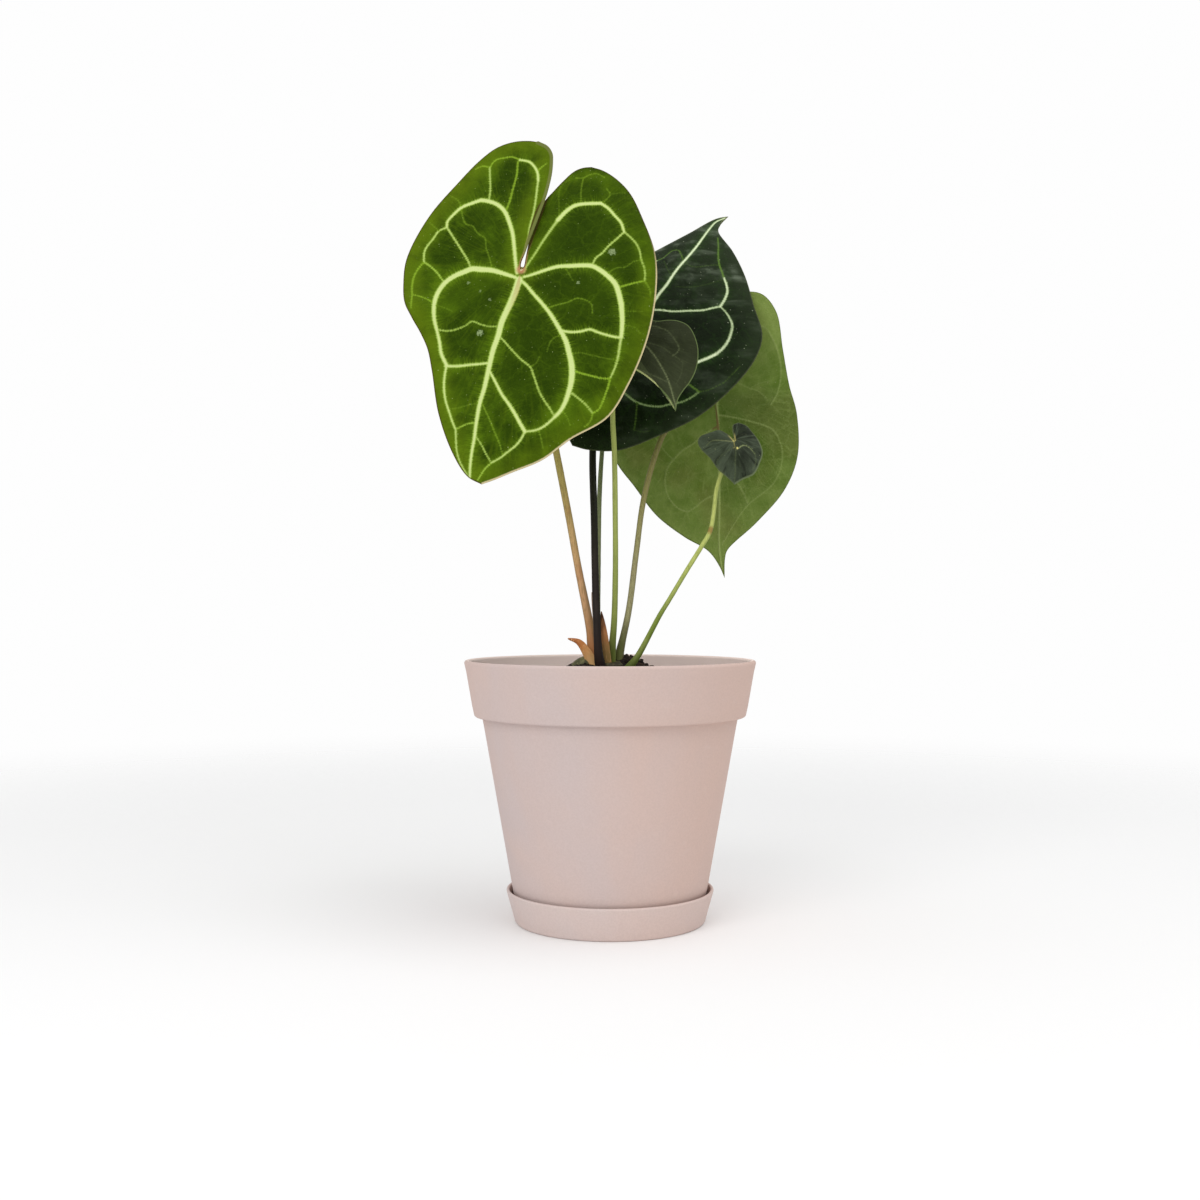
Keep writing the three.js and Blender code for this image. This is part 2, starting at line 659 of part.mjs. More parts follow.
const plant = new THREE.Group();
plant.add(named('saucer', saucerGeometry(), { color: 0xcfbcb6, roughness: 0.75 }));
plant.add(named('pot', potGeometry(), { color: 0xcebbb4, roughness: 0.75 }));
plant.add(named('crown', toGeometry(crownSolid()), { color: 0x5b5a34 }));
plant.add(named('roots', toGeometry(rootsSolid()), { color: 0xb9a67e }));

const crownHole = crownSolid(CLEARANCE);
const soilHoles = [crownHole, rootsSolid(CLEARANCE)];
const stalkColors = {
  stalk_1: 0xa08a4c,
  stalk_2: 0x2b2a2c,
  stalk_3: 0x6f7a5c,
  stalk_4: 0x87a04a,
  stalk_5: 0x84805c,
  stalk_6: 0x6f9a34,
};
for (const [name, stalk] of Object.entries(STALKS)) {
  const solid = toManifold(stalkGeometry(stalk)).subtract(crownHole);
  plant.add(named(name, toGeometry(solid), { color: stalkColors[name], roughness: 0.5 }));
  soilHoles.push(toManifold(stalkGeometry(stalk, CLEARANCE)));
}
for (const [name, scale] of Object.entries(SCALES)) {
  const solid = toManifold(scaleGeometry(scale)).subtract(crownHole);
  plant.add(named(name, toGeometry(solid), { color: scale.color, roughness: 0.8 }));
  soilHoles.push(toManifold(scaleGeometry(scale, CLEARANCE)));
}
for (const [name, leaf] of Object.entries(LEAVES)) {
  plant.add(named(name, leafGeometry(leaf), { color: leaf.color, roughness: 0.45 }));
}
plant.add(named('soil', toGeometry(soilSolid(soilHoles)), { color: 0x2a1d14, roughness: 0.95 }));

export default plant;
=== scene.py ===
"""A young Anthurium clarinervium in its pale clay pot and saucer.

Places and sizes of the plant and its pot are in millimetres, with +Z up and the front facing -Y, and
the origin is the centre of the saucer's underside. Each mesh is scaled to metres when it is made.
"""

import math
import random

import bpy
import numpy as np
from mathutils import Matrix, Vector, noise


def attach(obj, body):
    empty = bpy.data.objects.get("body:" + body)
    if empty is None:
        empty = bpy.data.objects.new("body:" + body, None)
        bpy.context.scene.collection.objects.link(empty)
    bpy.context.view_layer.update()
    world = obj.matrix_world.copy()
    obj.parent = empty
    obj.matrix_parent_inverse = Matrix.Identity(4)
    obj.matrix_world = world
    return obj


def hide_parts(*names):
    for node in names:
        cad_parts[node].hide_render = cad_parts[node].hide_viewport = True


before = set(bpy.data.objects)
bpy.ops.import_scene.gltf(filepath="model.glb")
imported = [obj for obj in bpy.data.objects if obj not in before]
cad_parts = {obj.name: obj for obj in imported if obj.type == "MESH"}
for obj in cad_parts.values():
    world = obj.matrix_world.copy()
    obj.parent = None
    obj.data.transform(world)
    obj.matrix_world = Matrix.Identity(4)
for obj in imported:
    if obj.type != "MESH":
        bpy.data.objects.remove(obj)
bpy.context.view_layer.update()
root = "root"

# Studio, in metres: a white floor board that fades into the backdrop, a level camera in front of
# the pot, and soft lamps at the left and above. White walls all round fill the shadows, as in a
# light tent.
floor_half = 2
floor_white = (0.893, 0.893, 0.893, 1)
floor_solid_to = 0.45
floor_gone_at = 1.3
camera_place = (-0.0062, -0.872, 0.198)
wall_white = (0.99, 0.99, 0.99, 1)
wall_light = 0.78


def tint(red, green, blue):
    """A colour as it looks on a screen, 0 to 255, as a shader takes it."""
    def linear(value):
        share = value / 255
        return share / 12.92 if share < 0.04045 else ((share + 0.055) / 1.055) ** 2.4
    return (linear(red), linear(green), linear(blue), 1)


class Field:
    """A value or colour that varies over a surface: a node's socket that sums and products take."""

    def __init__(self, finish, socket):
        self.finish = finish
        self.socket = socket

    def maths(self, operation, first, second):
        return self.finish.node("ShaderNodeMath", {"operation": operation}, {0: first, 1: second})

    def __add__(self, other):
        return self.maths("ADD", self, other)

    def __radd__(self, other):
        return self.maths("ADD", other, self)

    def __sub__(self, other):
        return self.maths("SUBTRACT", self, other)

    def __rsub__(self, other):
        return self.maths("SUBTRACT", other, self)

    def __mul__(self, other):
        return self.maths("MULTIPLY", self, other)

    def __rmul__(self, other):
        return self.maths("MULTIPLY", other, self)


class Finish:
    """One material. palette names its colours, and fixed holds the shader's constant sockets, with
    spaces written as _. A colour is a Field, a name in the palette, or a screen's red, green, blue."""

    def __init__(self, name, palette=None, **fixed):
        self.palette = palette
        self.material = bpy.data.materials.new(name)
        self.material.use_nodes = True
        self.tree = self.material.node_tree
        self.shader = self.tree.nodes["Principled BSDF"]
        for socket, value in fixed.items():
            self.shader.inputs[socket.replace("_", " ")].default_value = value

    def node(self, kind, settings=None, inputs=None, output=0):
        node = self.tree.nodes.new(kind)
        for setting, value in (settings or {}).items():
            setattr(node, setting, value)
        for socket, value in (inputs or {}).items():
            if isinstance(value, Field):
                self.tree.links.new(value.socket, node.inputs[socket])
            else:
                node.inputs[socket].default_value = value
        return Field(self, node.outputs[output])

    def place(self):
        """The place on the piece, in metres."""
        return self.node("ShaderNodeTexCoord", output=3)

    def value(self, name):
        """A value kept at the mesh's points."""
        return self.node("ShaderNodeAttribute", {"attribute_name": name}, output=2)

    def spot(self, name):
        """A place kept at the mesh's points."""
        return self.node("ShaderNodeAttribute", {"attribute_name": name}, output=1)

    def pair(self, x, y):
        """A flat place made of two values."""
        return self.node("ShaderNodeCombineXYZ", inputs={0: x, 1: y})

    def upright(self, place, scale):
        """The place with its height scaled, for marks that are drawn out or flattened."""
        scales = {0: place, 1: (1, 1, scale)}
        return self.node("ShaderNodeVectorMath", {"operation": "MULTIPLY"}, scales)

    def noise(self, place, scale, detail=3, distortion=0):
        inputs = {"Vector": place, "Scale": scale, "Detail": detail, "Distortion": distortion}
        return self.node("ShaderNodeTexNoise", inputs=inputs)

    def step(self, value, low, high):
        """0 at low and 1 at high, with a soft change between them."""
        settings = {"interpolation_type": "SMOOTHSTEP"}
        inputs = {"Value": value, "From Min": low, "From Max": high}
        return self.node("ShaderNodeMapRange", settings, inputs)

    def blend(self, share, first, second):
        """The first colour where share is 0 and the second where it is 1."""
        colors = [self.palette[c] if isinstance(c, str) else c for c in (first, second)]
        first, second = [tint(*c) if isinstance(c, tuple) else c for c in colors]
        return self.node("ShaderNodeMix", {"data_type": "RGBA"}, {0: share, 6: first, 7: second}, 2)

    def layers(self, color, *layers):
        """A colour with layers laid over it in turn, each one a share and a colour."""
        for share, layer in layers:
            color = self.blend(share, color, layer)
        return color

    def paint(self, **looks):
        """Feeds the shader's sockets, with spaces written as _, from what varies over the surface."""
        for socket, look in looks.items():
            self.tree.links.new(look.socket, self.shader.inputs[socket.replace("_", " ")])

    def bump(self, height, depth):
        """Relief from height, which is 0 to 1, over a depth in metres."""
        self.paint(Normal=self.node("ShaderNodeBump", inputs={"Distance": depth, "Height": height}))


def lamp(name, place, aim, size, power):
    """A square lamp of a size in metres and a power in watts."""
    data = bpy.data.lights.new(name, "AREA")
    data.shape = "SQUARE"
    data.size = size
    data.energy = power
    light = bpy.data.objects.new(name, data)
    light.location = place
    light.rotation_euler = (Vector(aim) - Vector(place)).to_track_quat("-Z", "Y").to_euler()
    bpy.context.scene.collection.objects.link(light)


floor_corners = [(x * floor_half, y * floor_half, 0) for x, y in ((-1, -1), (1, -1), (1, 1), (-1, 1))]
floor_mesh = bpy.data.meshes.new("floor")
floor_mesh.from_pydata(floor_corners, [], [(0, 1, 2, 3)])
floor = bpy.data.objects.new("floor", floor_mesh)
bpy.context.scene.collection.objects.link(floor)
floor_paint = Finish("floor_paint", Base_Color=floor_white, Roughness=0.9, Specular_IOR_Level=0.1)
from_middle = floor_paint.node(
    "ShaderNodeVectorMath", {"operation": "LENGTH"}, {0: floor_paint.place()}, output=1)
floor_paint.paint(Alpha=floor_paint.step(from_middle, floor_gone_at, floor_solid_to))
floor_mesh.materials.append(floor_paint.material)

camera_data = bpy.data.cameras.new("camera")
camera_data.sensor_width = 36
camera_data.lens = 42.18
camera = bpy.data.objects.new("camera", camera_data)
camera.location = camera_place
camera.rotation_euler = (math.radians(90), 0, 0)
bpy.context.scene.collection.objects.link(camera)
bpy.context.scene.camera = camera

lamp("lamp_left", (-0.8, -1.5, 1.2), (0, 0, 0.25), 1.2, 11)
lamp("lamp_above", (0.7, -0.4, 1.8), (0, 0, 0.1), 1.6, 10)

walls = bpy.data.worlds.new("white_walls")
walls.use_nodes = True
bpy.context.scene.world = walls
wall_nodes = walls.node_tree.nodes
wall_links = walls.node_tree.links
fill = wall_nodes["Background"]
fill.inputs["Color"].default_value = (1, 1, 1, 1)
fill.inputs["Strength"].default_value = wall_light
backdrop = wall_nodes.new("ShaderNodeBackground")
backdrop.inputs["Color"].default_value = wall_white
light_path = wall_nodes.new("ShaderNodeLightPath")
seen = wall_nodes.new("ShaderNodeMixShader")
wall_links.new(light_path.outputs["Is Camera Ray"], seen.inputs[0])
wall_links.new(fill.outputs[0], seen.inputs[1])
wall_links.new(backdrop.outputs[0], seen.inputs[2])
wall_links.new(seen.outputs[0], wall_nodes["World Output"].inputs["Surface"])
bpy.context.scene.view_settings.view_transform = "Standard"

# Saucer: a shallow round tray with a flaring wall, turned from pale pink clay and left unglazed.
# It stands on its flat foot and catches the water that drains from the pot.
millimetre = 0.001
saucer_foot = 57.5
saucer_rim = 63
saucer_rim_height = 19.2
saucer_floor = 2
saucer_bend = 1.5
saucer_lip = 1
saucer_sides = 224
base_ring = 30
centre_hole = 0.01


def make_piece(name, points, faces, finish, slot, node, kept):
    """A smooth mesh that stands for a CAD node. kept holds values or places for its points."""
    mesh = bpy.data.meshes.new(name)
    mesh.from_pydata([tuple(p) for p in np.asarray(points, float) * millimetre], [], faces)
    mesh.validate()
    for key, data in kept.items():
        data = np.asarray(data, np.float32)
        kind, part = ("FLOAT", "value") if data.ndim == 1 else ("FLOAT_VECTOR", "vector")
        mesh.attributes.new(key, kind, "POINT").data.foreach_set(part, data.ravel())
    mesh.shade_smooth()
    mesh.materials.append(finish.material)
    piece = bpy.data.objects.new(name, mesh)
    bpy.context.scene.collection.objects.link(piece)
    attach(piece, root)
    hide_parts(node)


def corner(radius, height, size, start, end, steps=8):
    """A round corner of a profile, as [radius, height] points. start and end are in degrees."""
    angles = [math.radians(start + (end - start) * i / steps) for i in range(steps + 1)]
    return [(radius + size * math.cos(a), height + size * math.sin(a)) for a in angles]


def around(sides):
    """Evenly spaced angles of a whole turn."""
    return [2 * math.pi * k / sides for k in range(sides)]


def ring_faces(rings, sides, capped=True):
    """The faces of a tube whose points run ring by ring from its foot, and of its two ends."""
    faces = []
    for i in range(rings - 1):
        for k in range(sides):
            n = (k + 1) % sides
            faces.append((i * sides + k, i * sides + n, (i + 1) * sides + n, (i + 1) * sides + k))
    if capped:
        faces.append(tuple(range(sides - 1, -1, -1)))
        faces.append(tuple(range((rings - 1) * sides, rings * sides)))
    return faces


def turned(profile, sides):
    """The points and faces of a closed turned shape from [radius, height] points."""
    points = [(r * math.cos(a), r * math.sin(a), z) for r, z in profile for a in around(sides)]
    return points, ring_faces(len(profile), sides, capped=False)


def clay_finish(name, **palette):
    """Matt clay: soft clouds of cooler and warmer pink, its right side painted warmer as painted warm
    light, a few paler rubs, fine grit, and the inner wall above the soil painted paler as painted light."""
    clay = Finish(name, palette, Specular_IOR_Level=0.18)
    place = clay.place()
    clouds = clay.noise(place, 9, 4, 0.6)
    drifts = clay.noise(clay.upright(place, 0.35), 22, 4, 0.3)
    grit = clay.noise(place, 900, 3)
    rubs = clay.noise(clay.upright(place, 2.5), 60, 6, 1.2)
    warm_light_side = clay.node("ShaderNodeSeparateXYZ", inputs={0: place})
    color = clay.layers(
        "cool",
        (clay.step(clouds, 0.36, 0.62), "main"),
        (clay.step(drifts, 0.4, 0.75) * 0.3, "warm"),
        # Painted warm light: the clay is painted warmer towards its right side.
        (clay.step(warm_light_side + clouds * 0.06, -0.02, 0.12) * 0.8, "warm"),
        (clay.step(rubs, 0.6, 0.8) * 0.25, "dust"),
        (clay.step(grit, 0.35, 0.65) * 0.12, (170, 150, 142)),
        # Painted light: the collar's inner wall above the soil is painted paler, where the rim and soil
        # shade it.
        (clay.value("inner") * 0.9, (250, 230, 222)))
    clay.paint(Base_Color=color, Roughness=0.7 + drifts * 0.2)
    clay.bump(grit * 0.6 + clay.noise(place, 160, 3) * 0.4, 0.00012)
    return clay


saucer_clay = clay_finish(
    "saucer_clay", main=(211, 192, 186), cool=(206, 193, 190), warm=(211, 188, 179), dust=(217, 202, 197))
saucer_points, saucer_faces = turned([
    (centre_hole, 0),
    (base_ring, 0),
    *corner(saucer_foot, saucer_bend, saucer_bend, -90, -16),
    *corner(saucer_rim, saucer_rim_height, saucer_lip, -16, 196, 16),
    *corner(saucer_foot - saucer_floor, saucer_floor + saucer_bend, saucer_bend, -16, -90),
    (base_ring, saucer_floor),
    (centre_hole, saucer_floor),
], saucer_sides)
make_piece("saucer_tray", saucer_points, saucer_faces, saucer_clay, "saucer", "saucer", {})

# Pot: a tapered body with a tall straight collar and a rolled lip, of the same clay, with a drain
# hole in its floor. It stands loosely in the saucer.
pot_base = 2.3
pot_floor = 5.3
pot_foot = 57
pot_flare = 22
collar_base = 126.5
collar_height = 34.5
collar_foot = 84
collar_flare = 6
collar_wall = 1.5
shelf_radius = 80.8
inner_side = [(84, 143), (81, 129.5), (76, 128), (65, 66)]
inner_foot = 54
soil_line = 140
drain_radius = 7
pot_sides = 256
foot_bend = 2
shoulder_bend = 0.6
collar_bend = 1.5
lip_bend = 1.6
pot_clay = clay_finish(
    "pot_clay", main=(206, 185, 178), cool=(200, 184, 181), warm=(208, 180, 168), dust=(213, 195, 189))
pot_points, pot_faces = turned([
    (drain_radius, pot_base),
    (base_ring, pot_base),
    *corner(pot_foot - foot_bend, pot_base + foot_bend, foot_bend, -90, -10),
    *[(pot_foot + pot_flare * t, pot_base + (collar_base - pot_base) * t)
      for t in (0.1, 0.3, 0.5, 0.7, 0.85, 0.95)],
    *corner(pot_foot + pot_flare + shoulder_bend, collar_base - shoulder_bend, shoulder_bend, 170, 90, 4),
    (shelf_radius, collar_base),
    *corner(collar_foot - collar_bend, collar_base + collar_bend, collar_bend, -90, -10),
    *[(collar_foot + collar_flare * t, collar_base + collar_height * t) for t in (0.2, 0.4, 0.6, 0.8)],
    *corner(collar_foot + collar_flare - lip_bend, collar_base + collar_height - lip_bend, lip_bend,
            -10, 190, 16),
    *inner_side,
    (inner_foot, pot_floor + foot_bend),
    *corner(inner_foot - foot_bend, pot_floor + foot_bend, foot_bend, 0, -90, 4),
    (base_ring, pot_floor),
    (drain_radius, pot_floor),
    (drain_radius, pot_base),
], pot_sides)


def is_inner_wall(x, y, z):
    """Whether a point is on the collar's inner side, above the soil, where the clay is painted paler."""
    collar = collar_foot + collar_flare * (z - collar_base) / collar_height
    return z > soil_line and math.hypot(x, y) < collar - collar_wall


make_piece("clay_pot", pot_points, pot_faces, pot_clay, "pot", "pot",
           {"inner": [float(is_inner_wall(*point)) for point in pot_points]})

# Soil: dark potting soil that rises to a mound at the foot of the plant, with crumbs and chips of
# bark pressed into it. It fills the pot to a finger's width under the lip.
soil_level = 148
mound_reach = math.sqrt(940)
soil_swells = (
    (17, -2, 0, mound_reach, mound_reach), (2.5, 14, 8, 8, 10), (-4.5, 0, -15, 24, 12), (-8, 3, -5, 12, 8))
soil_rings = 84
soil_sides = 300
soil_edge = 84.4
lump_size = 7
lump_height = 1.3
pit_size = 2.2
pit_height = 0.35
soil_wall = ((84.2, 140), (80.6, 130), (75.6, 127.6), (53.6, 9), (50, 5.7))
crumb_levels = 5
crumb_sides = 8
crumb_draws = 640
crumb_reach = 82
bare_reach = 26


def mound_height(x, y):
    """The soil's level. A swell has its height, its middle's x and y, and its reach in x and y."""
    return soil_level + sum(
        height * math.exp(-(((x - middle_x) / wide) ** 2) - ((y - middle_y) / deep) ** 2)
        for height, middle_x, middle_y, wide, deep in soil_swells)


def crumb(centre, size, flatness, rng):
    """A rough lump of bark or soil: a rounded box whose corners are pushed about."""
    turn = rng.uniform(0, 2 * math.pi)
    tilt = rng.uniform(-0.5, 0.5)
    wide = rng.uniform(0.5, 0.85)
    points = []
    for i in range(crumb_levels):
        level = -1 + 2 * i / (crumb_levels - 1)
        ring = math.sqrt(max(0.08, 1 - level ** 4))
        for angle in around(crumb_sides):
            push = 1 + rng.uniform(-0.22, 0.22)
            u = size * ring * push * math.cos(angle) / 2
            v = size * wide * ring * push * math.sin(angle) / 2
            h = size * flatness * level / 2 + tilt * u
            x = u * math.cos(turn) - v * math.sin(turn)
            y = u * math.sin(turn) + v * math.cos(turn)
            points.append((centre[0] + x, centre[1] + y, centre[2] + h))
    return points, ring_faces(crumb_levels, crumb_sides)


def join(points, faces, more_points, more_faces):
    """Adds a lump's points and faces to those of a mesh."""
    start = len(points)
    points += more_points
    faces += [tuple(start + i for i in face) for face in more_faces]


soil_points = []
for ring in range(1, soil_rings + 1):
    r = soil_edge * ring / soil_rings
    for angle in around(soil_sides):
        x, y = r * math.cos(angle), r * math.sin(angle)
        lumps = lump_height * noise.fractal((x / lump_size, y / lump_size, 3), 0.7, 2.1, 4)
        pits = pit_height * noise.cell((x / pit_size, y / pit_size, 9))
        soil_points.append((x, y, mound_height(x, y) + lumps + pits))
for r, z in soil_wall:
    soil_points += [(r * math.cos(angle), r * math.sin(angle), z) for angle in around(soil_sides)]
soil_faces = [face[::-1] for face in ring_faces(soil_rings + len(soil_wall), soil_sides)]
soil_kind = [0.0] * len(soil_points)

rng = random.Random(11)
for index in range(crumb_draws):
    r = crumb_reach * math.sqrt(rng.random())
    angle = 2 * math.pi * rng.random()
    bark = index % 5 == 0
    size = rng.uniform(5, 11) if bark else rng.uniform(1.6, 4.5)
    if r + size / 2 > crumb_reach + 1 or (bark and r < bare_reach):
        continue
    x, y = r * math.cos(angle), r * math.sin(angle)
    centre = (x, y, mound_height(x, y) + 0.05 * size)
    lump_points, lump_faces = crumb(centre, size, 0.35 if bark else 0.8, rng)
    join(soil_points, soil_faces, lump_points, lump_faces)
    soil_kind += [rng.uniform(0.55, 1) if bark else rng.uniform(0, 0.35)] * len(lump_points)

soil = Finish("potting_soil", Specular_IOR_Level=0.25)
place = soil.place()
fine = soil.noise(place, 700, 5)
grain = soil.noise(soil.upright(place, 4), 260, 5)
bark_color = soil.blend(soil.step(grain, 0.35, 0.65), (38, 27, 17), (84, 60, 38))
color = soil.layers(
    (18, 12, 9),
    (soil.step(fine, 0.35, 0.7), (48, 35, 25)),
    (soil.step(soil.noise(place, 90, 4), 0.55, 0.75) * 0.5, (78, 56, 38)),
    (soil.step(soil.value("kind"), 0.3, 0.9), bark_color))
soil.paint(Base_Color=color, Roughness=0.82 + fine * 0.15)
soil.bump(fine, 0.0006)
make_piece("potting_soil", soil_points, soil_faces, soil, "soil", "soil", {"kind": soil_kind})

# Roots: pale fleshy roots that wander down through the soil, out of sight. Their CAD solids have
# the right shape, so they only get a finish.
root_skin = Finish("root_skin", Specular_IOR_Level=0.3)
marks = root_skin.noise(root_skin.upright(root_skin.place(), 0.3), 400, 4)
color = root_skin.blend(root_skin.step(marks, 0.4, 0.65), (196, 178, 138), (140, 112, 74))
root_skin.paint(Base_Color=color, Roughness=0.6 + marks * 0.3)
root_skin.bump(marks, 0.0004)
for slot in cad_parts["roots"].material_slots:
    slot.material = root_skin.material

# Crown: the short thick stem under the leaf stalks, ringed by the scars of old leaves. A plump
# resting bud leans out of it at the left, and its skin is corky below and green above.
crown_rings = 45
crown_sides = 48
crown_foot = 121
crown_height = 39
crown_radius = 9.5
scar_height = 0.9
scar_spacing = 6
bud_foot = (-8.5, -2, 161)
bud_reach = (-16, -0.5, -6)
bud_radius = 5
bud_steps = 16
bud_sides = 24


def directions(spots):
    """The way that a route runs at each of its spots."""
    ways = np.gradient(spots, axis=0)
    return ways / np.linalg.norm(ways, axis=1)[:, None]


def stem(route, radii, sides):
    """Points and faces of a stem through spots, with a radius at each one."""
    spots = np.asarray(route, float)
    tangents = directions(spots)
    side = np.cross(tangents[0], (0.3, 0.9, 0.1))
    points = []
    for spot, tangent, radius in zip(spots, tangents, radii):
        side = side - tangent * side.dot(tangent)
        side /= np.linalg.norm(side)
        other = np.cross(tangent, side)
        for angle in around(sides):
            points.append(spot + radius * (math.cos(angle) * side + math.sin(angle) * other))
    return points, ring_faces(len(spots), sides)


crown_points = []
for i in range(crown_rings):
    share = i / (crown_rings - 1)
    z = crown_foot + crown_height * share
    body = crown_radius * math.sqrt(1 - (2 * share - 1) ** 6 * 0.6)
    scar = scar_height * max(0, math.cos(2 * math.pi * i / scar_spacing)) ** 2
    for angle in around(crown_sides):
        rough = 0.5 * noise.noise((math.cos(angle) * 2, math.sin(angle) * 2, z / 4))
        r = body + scar + rough
        crown_points.append((r * math.cos(angle), r * math.sin(angle), z + 0.6 * math.sin(angle + i)))
crown_faces = ring_faces(crown_rings, crown_sides)
bud_shares = [i / bud_steps for i in range(bud_steps + 1)]
bud_route = [[foot + reach * t for foot, reach in zip(bud_foot, bud_reach)] for t in bud_shares]
bud_radii = [
    0.2 + bud_radius * math.sqrt(1 - (2 * t - 1) ** 2) * (1.05 - 0.2 * t) for t in bud_shares]
bud_points, bud_faces = stem(bud_route, bud_radii, bud_sides)
crown_kind = [0.0] * len(crown_points) + [1.0] * len(bud_points)
join(crown_points, crown_faces, bud_points, bud_faces)

crown = Finish("crown_skin", Specular_IOR_Level=0.4)
marks = crown.noise(crown.upright(crown.place(), 0.35), 320, 5)
cork = crown.blend(crown.step(marks, 0.4, 0.65), (44, 38, 22), (84, 78, 44))
bud_green = crown.blend(crown.step(marks, 0.4, 0.7), (64, 64, 32), (124, 120, 76))
crown.paint(Base_Color=crown.blend(crown.value("kind"), cork, bud_green), Roughness=0.45 + marks * 0.3)
crown.bump(marks, 0.0005)
make_piece("crown_stem", crown_points, crown_faces, crown, "crown", "crown", {"kind": crown_kind})

# Sheaths: dry papery scales that once wrapped young leaves and still stand round the crown. They are
# thin, cupped and fibrous, orange where they are fresh and brown where they have dried.
sheath_rings = 60
sheath_sides = 28
sheaths = {
    "scale_left": {
        "route": [(-10, -6, 152), (-11.6, -6.8, 159.5), (-14.8, -7, 166.5), (-19.5, -6.6, 172.4),
                  (-26, -6, 174.3)],
        "width": 6.8, "thickness": 1.2, "facing": (-0.35, -0.75, 0.55), "cup": 0.25,
        "base": (222, 176, 118), "body": (206, 134, 74), "tip": (166, 98, 54), "fibre": (240, 202, 150),
    },
    "scale_right": {
        "route": [(-1, -4.5, 152), (-2.2, -6.2, 163), (-3.4, -6.4, 176), (-5.4, -6, 191)],
        "width": 5.8, "thickness": 1, "facing": (0.1, -1, 0.1), "cup": 0.2,
        "base": (136, 110, 62), "body": (176, 116, 70), "tip": (84, 50, 32), "fibre": (214, 160, 112),
    },
    "scale_back": {
        "route": [(-4, 4.5, 152), (-6.4, 6, 163), (-8.6, 5.6, 182), (-11.3, 4.5, 203)],
        "width": 5, "thickness": 0.9, "facing": (-0.2, -1, 0), "cup": 0.15,
        "base": (186, 160, 118), "body": (178, 142, 110), "tip": (196, 178, 158), "fibre": (206, 184, 160),
    },
}


def smooth_route(spots, count):
    """Evenly spaced places on a smooth curve that passes through the spots."""
    spots = np.asarray(spots, float)
    first = 2 * spots[0] - spots[1]
    last = 2 * spots[-1] - spots[-2]
    padded = np.vstack([first, spots, last])
    gaps = np.linalg.norm(np.diff(padded, axis=0), axis=1) ** 0.5
    dense = [spots[:1]]
    t = np.linspace(0, 1, 25)[1:, None]
    for i in range(len(spots) - 1):
        a, b, c, d = padded[i:i + 4]
        before, here, after = gaps[i:i + 3]
        leave = ((b - a) / before - (c - a) / (before + here) + (c - b) / here) * here
        enter = ((c - b) / here - (d - b) / (here + after) + (d - c) / after) * here
        dense.append(b + leave * t + (3 * (c - b) - 2 * leave - enter) * t ** 2
                     + (2 * (b - c) + leave + enter) * t ** 3)
    dense = np.vstack(dense)
    steps = np.concatenate([[0], np.cumsum(np.linalg.norm(np.diff(dense, axis=0), axis=1))])
    wanted = np.linspace(0, steps[-1], count)
    return np.stack([np.interp(wanted, steps, column) for column in dense.T], axis=1)


def sheath(look):
    """A cupped strip that narrows to a point, as points and the share of the length at each one."""
    spots = smooth_route(look["route"], sheath_rings)
    width = look["width"]
    points = []
    along = []
    for i, (spot, tangent) in enumerate(zip(spots, directions(spots))):
        t = i / (sheath_rings - 1)
        across = np.cross(tangent, look["facing"])
        across /= np.linalg.norm(across)
        out = np.cross(across, tangent)
        half = (width / 2) * (1.01 - t) ** 0.6 * (1.1 + 0.3 * t)
        for angle in around(sheath_sides):
            u = math.cos(angle)
            rounded = look["thickness"] / 2 * math.sin(angle) * (1 - 0.4 * t)
            ruffle = 0.25 * noise.noise((u * 3, t * 6, width))
            points.append(spot + across * half * u + out * (rounded - look["cup"] * u * u * half + ruffle))
            along.append(t)
    return points, along


def sheath_finish(name, look):
    """Dry paper, from its colours: patches from base to tip under long pale fibres."""
    paper = Finish(name, look, Specular_IOR_Level=0.2)
    place = paper.place()
    along = paper.value("along")
    fibres = paper.noise(paper.upright(place, 0.12), 1500, 4)
    patches = paper.noise(place, 180, 3)
    color = paper.layers(
        "base",
        (paper.step(along + patches * 0.2, 0.4, 0.8), "body"),
        (paper.step(along + patches * 0.3, 0.75, 1.1), "tip"),
        (paper.step(fibres, 0.5, 0.75) * 0.55, "fibre"))
    paper.paint(Base_Color=color, Roughness=0.5 + fibres * 0.3)
    paper.bump(fibres, 0.0003)
    return paper


for node, look in sheaths.items():
    sheath_points, sheath_along = sheath(look)
    make_piece(node + "_sheath", sheath_points, ring_faces(sheath_rings, sheath_sides),
               sheath_finish(node + "_paper", look), "scale", node, {"along": sheath_along})

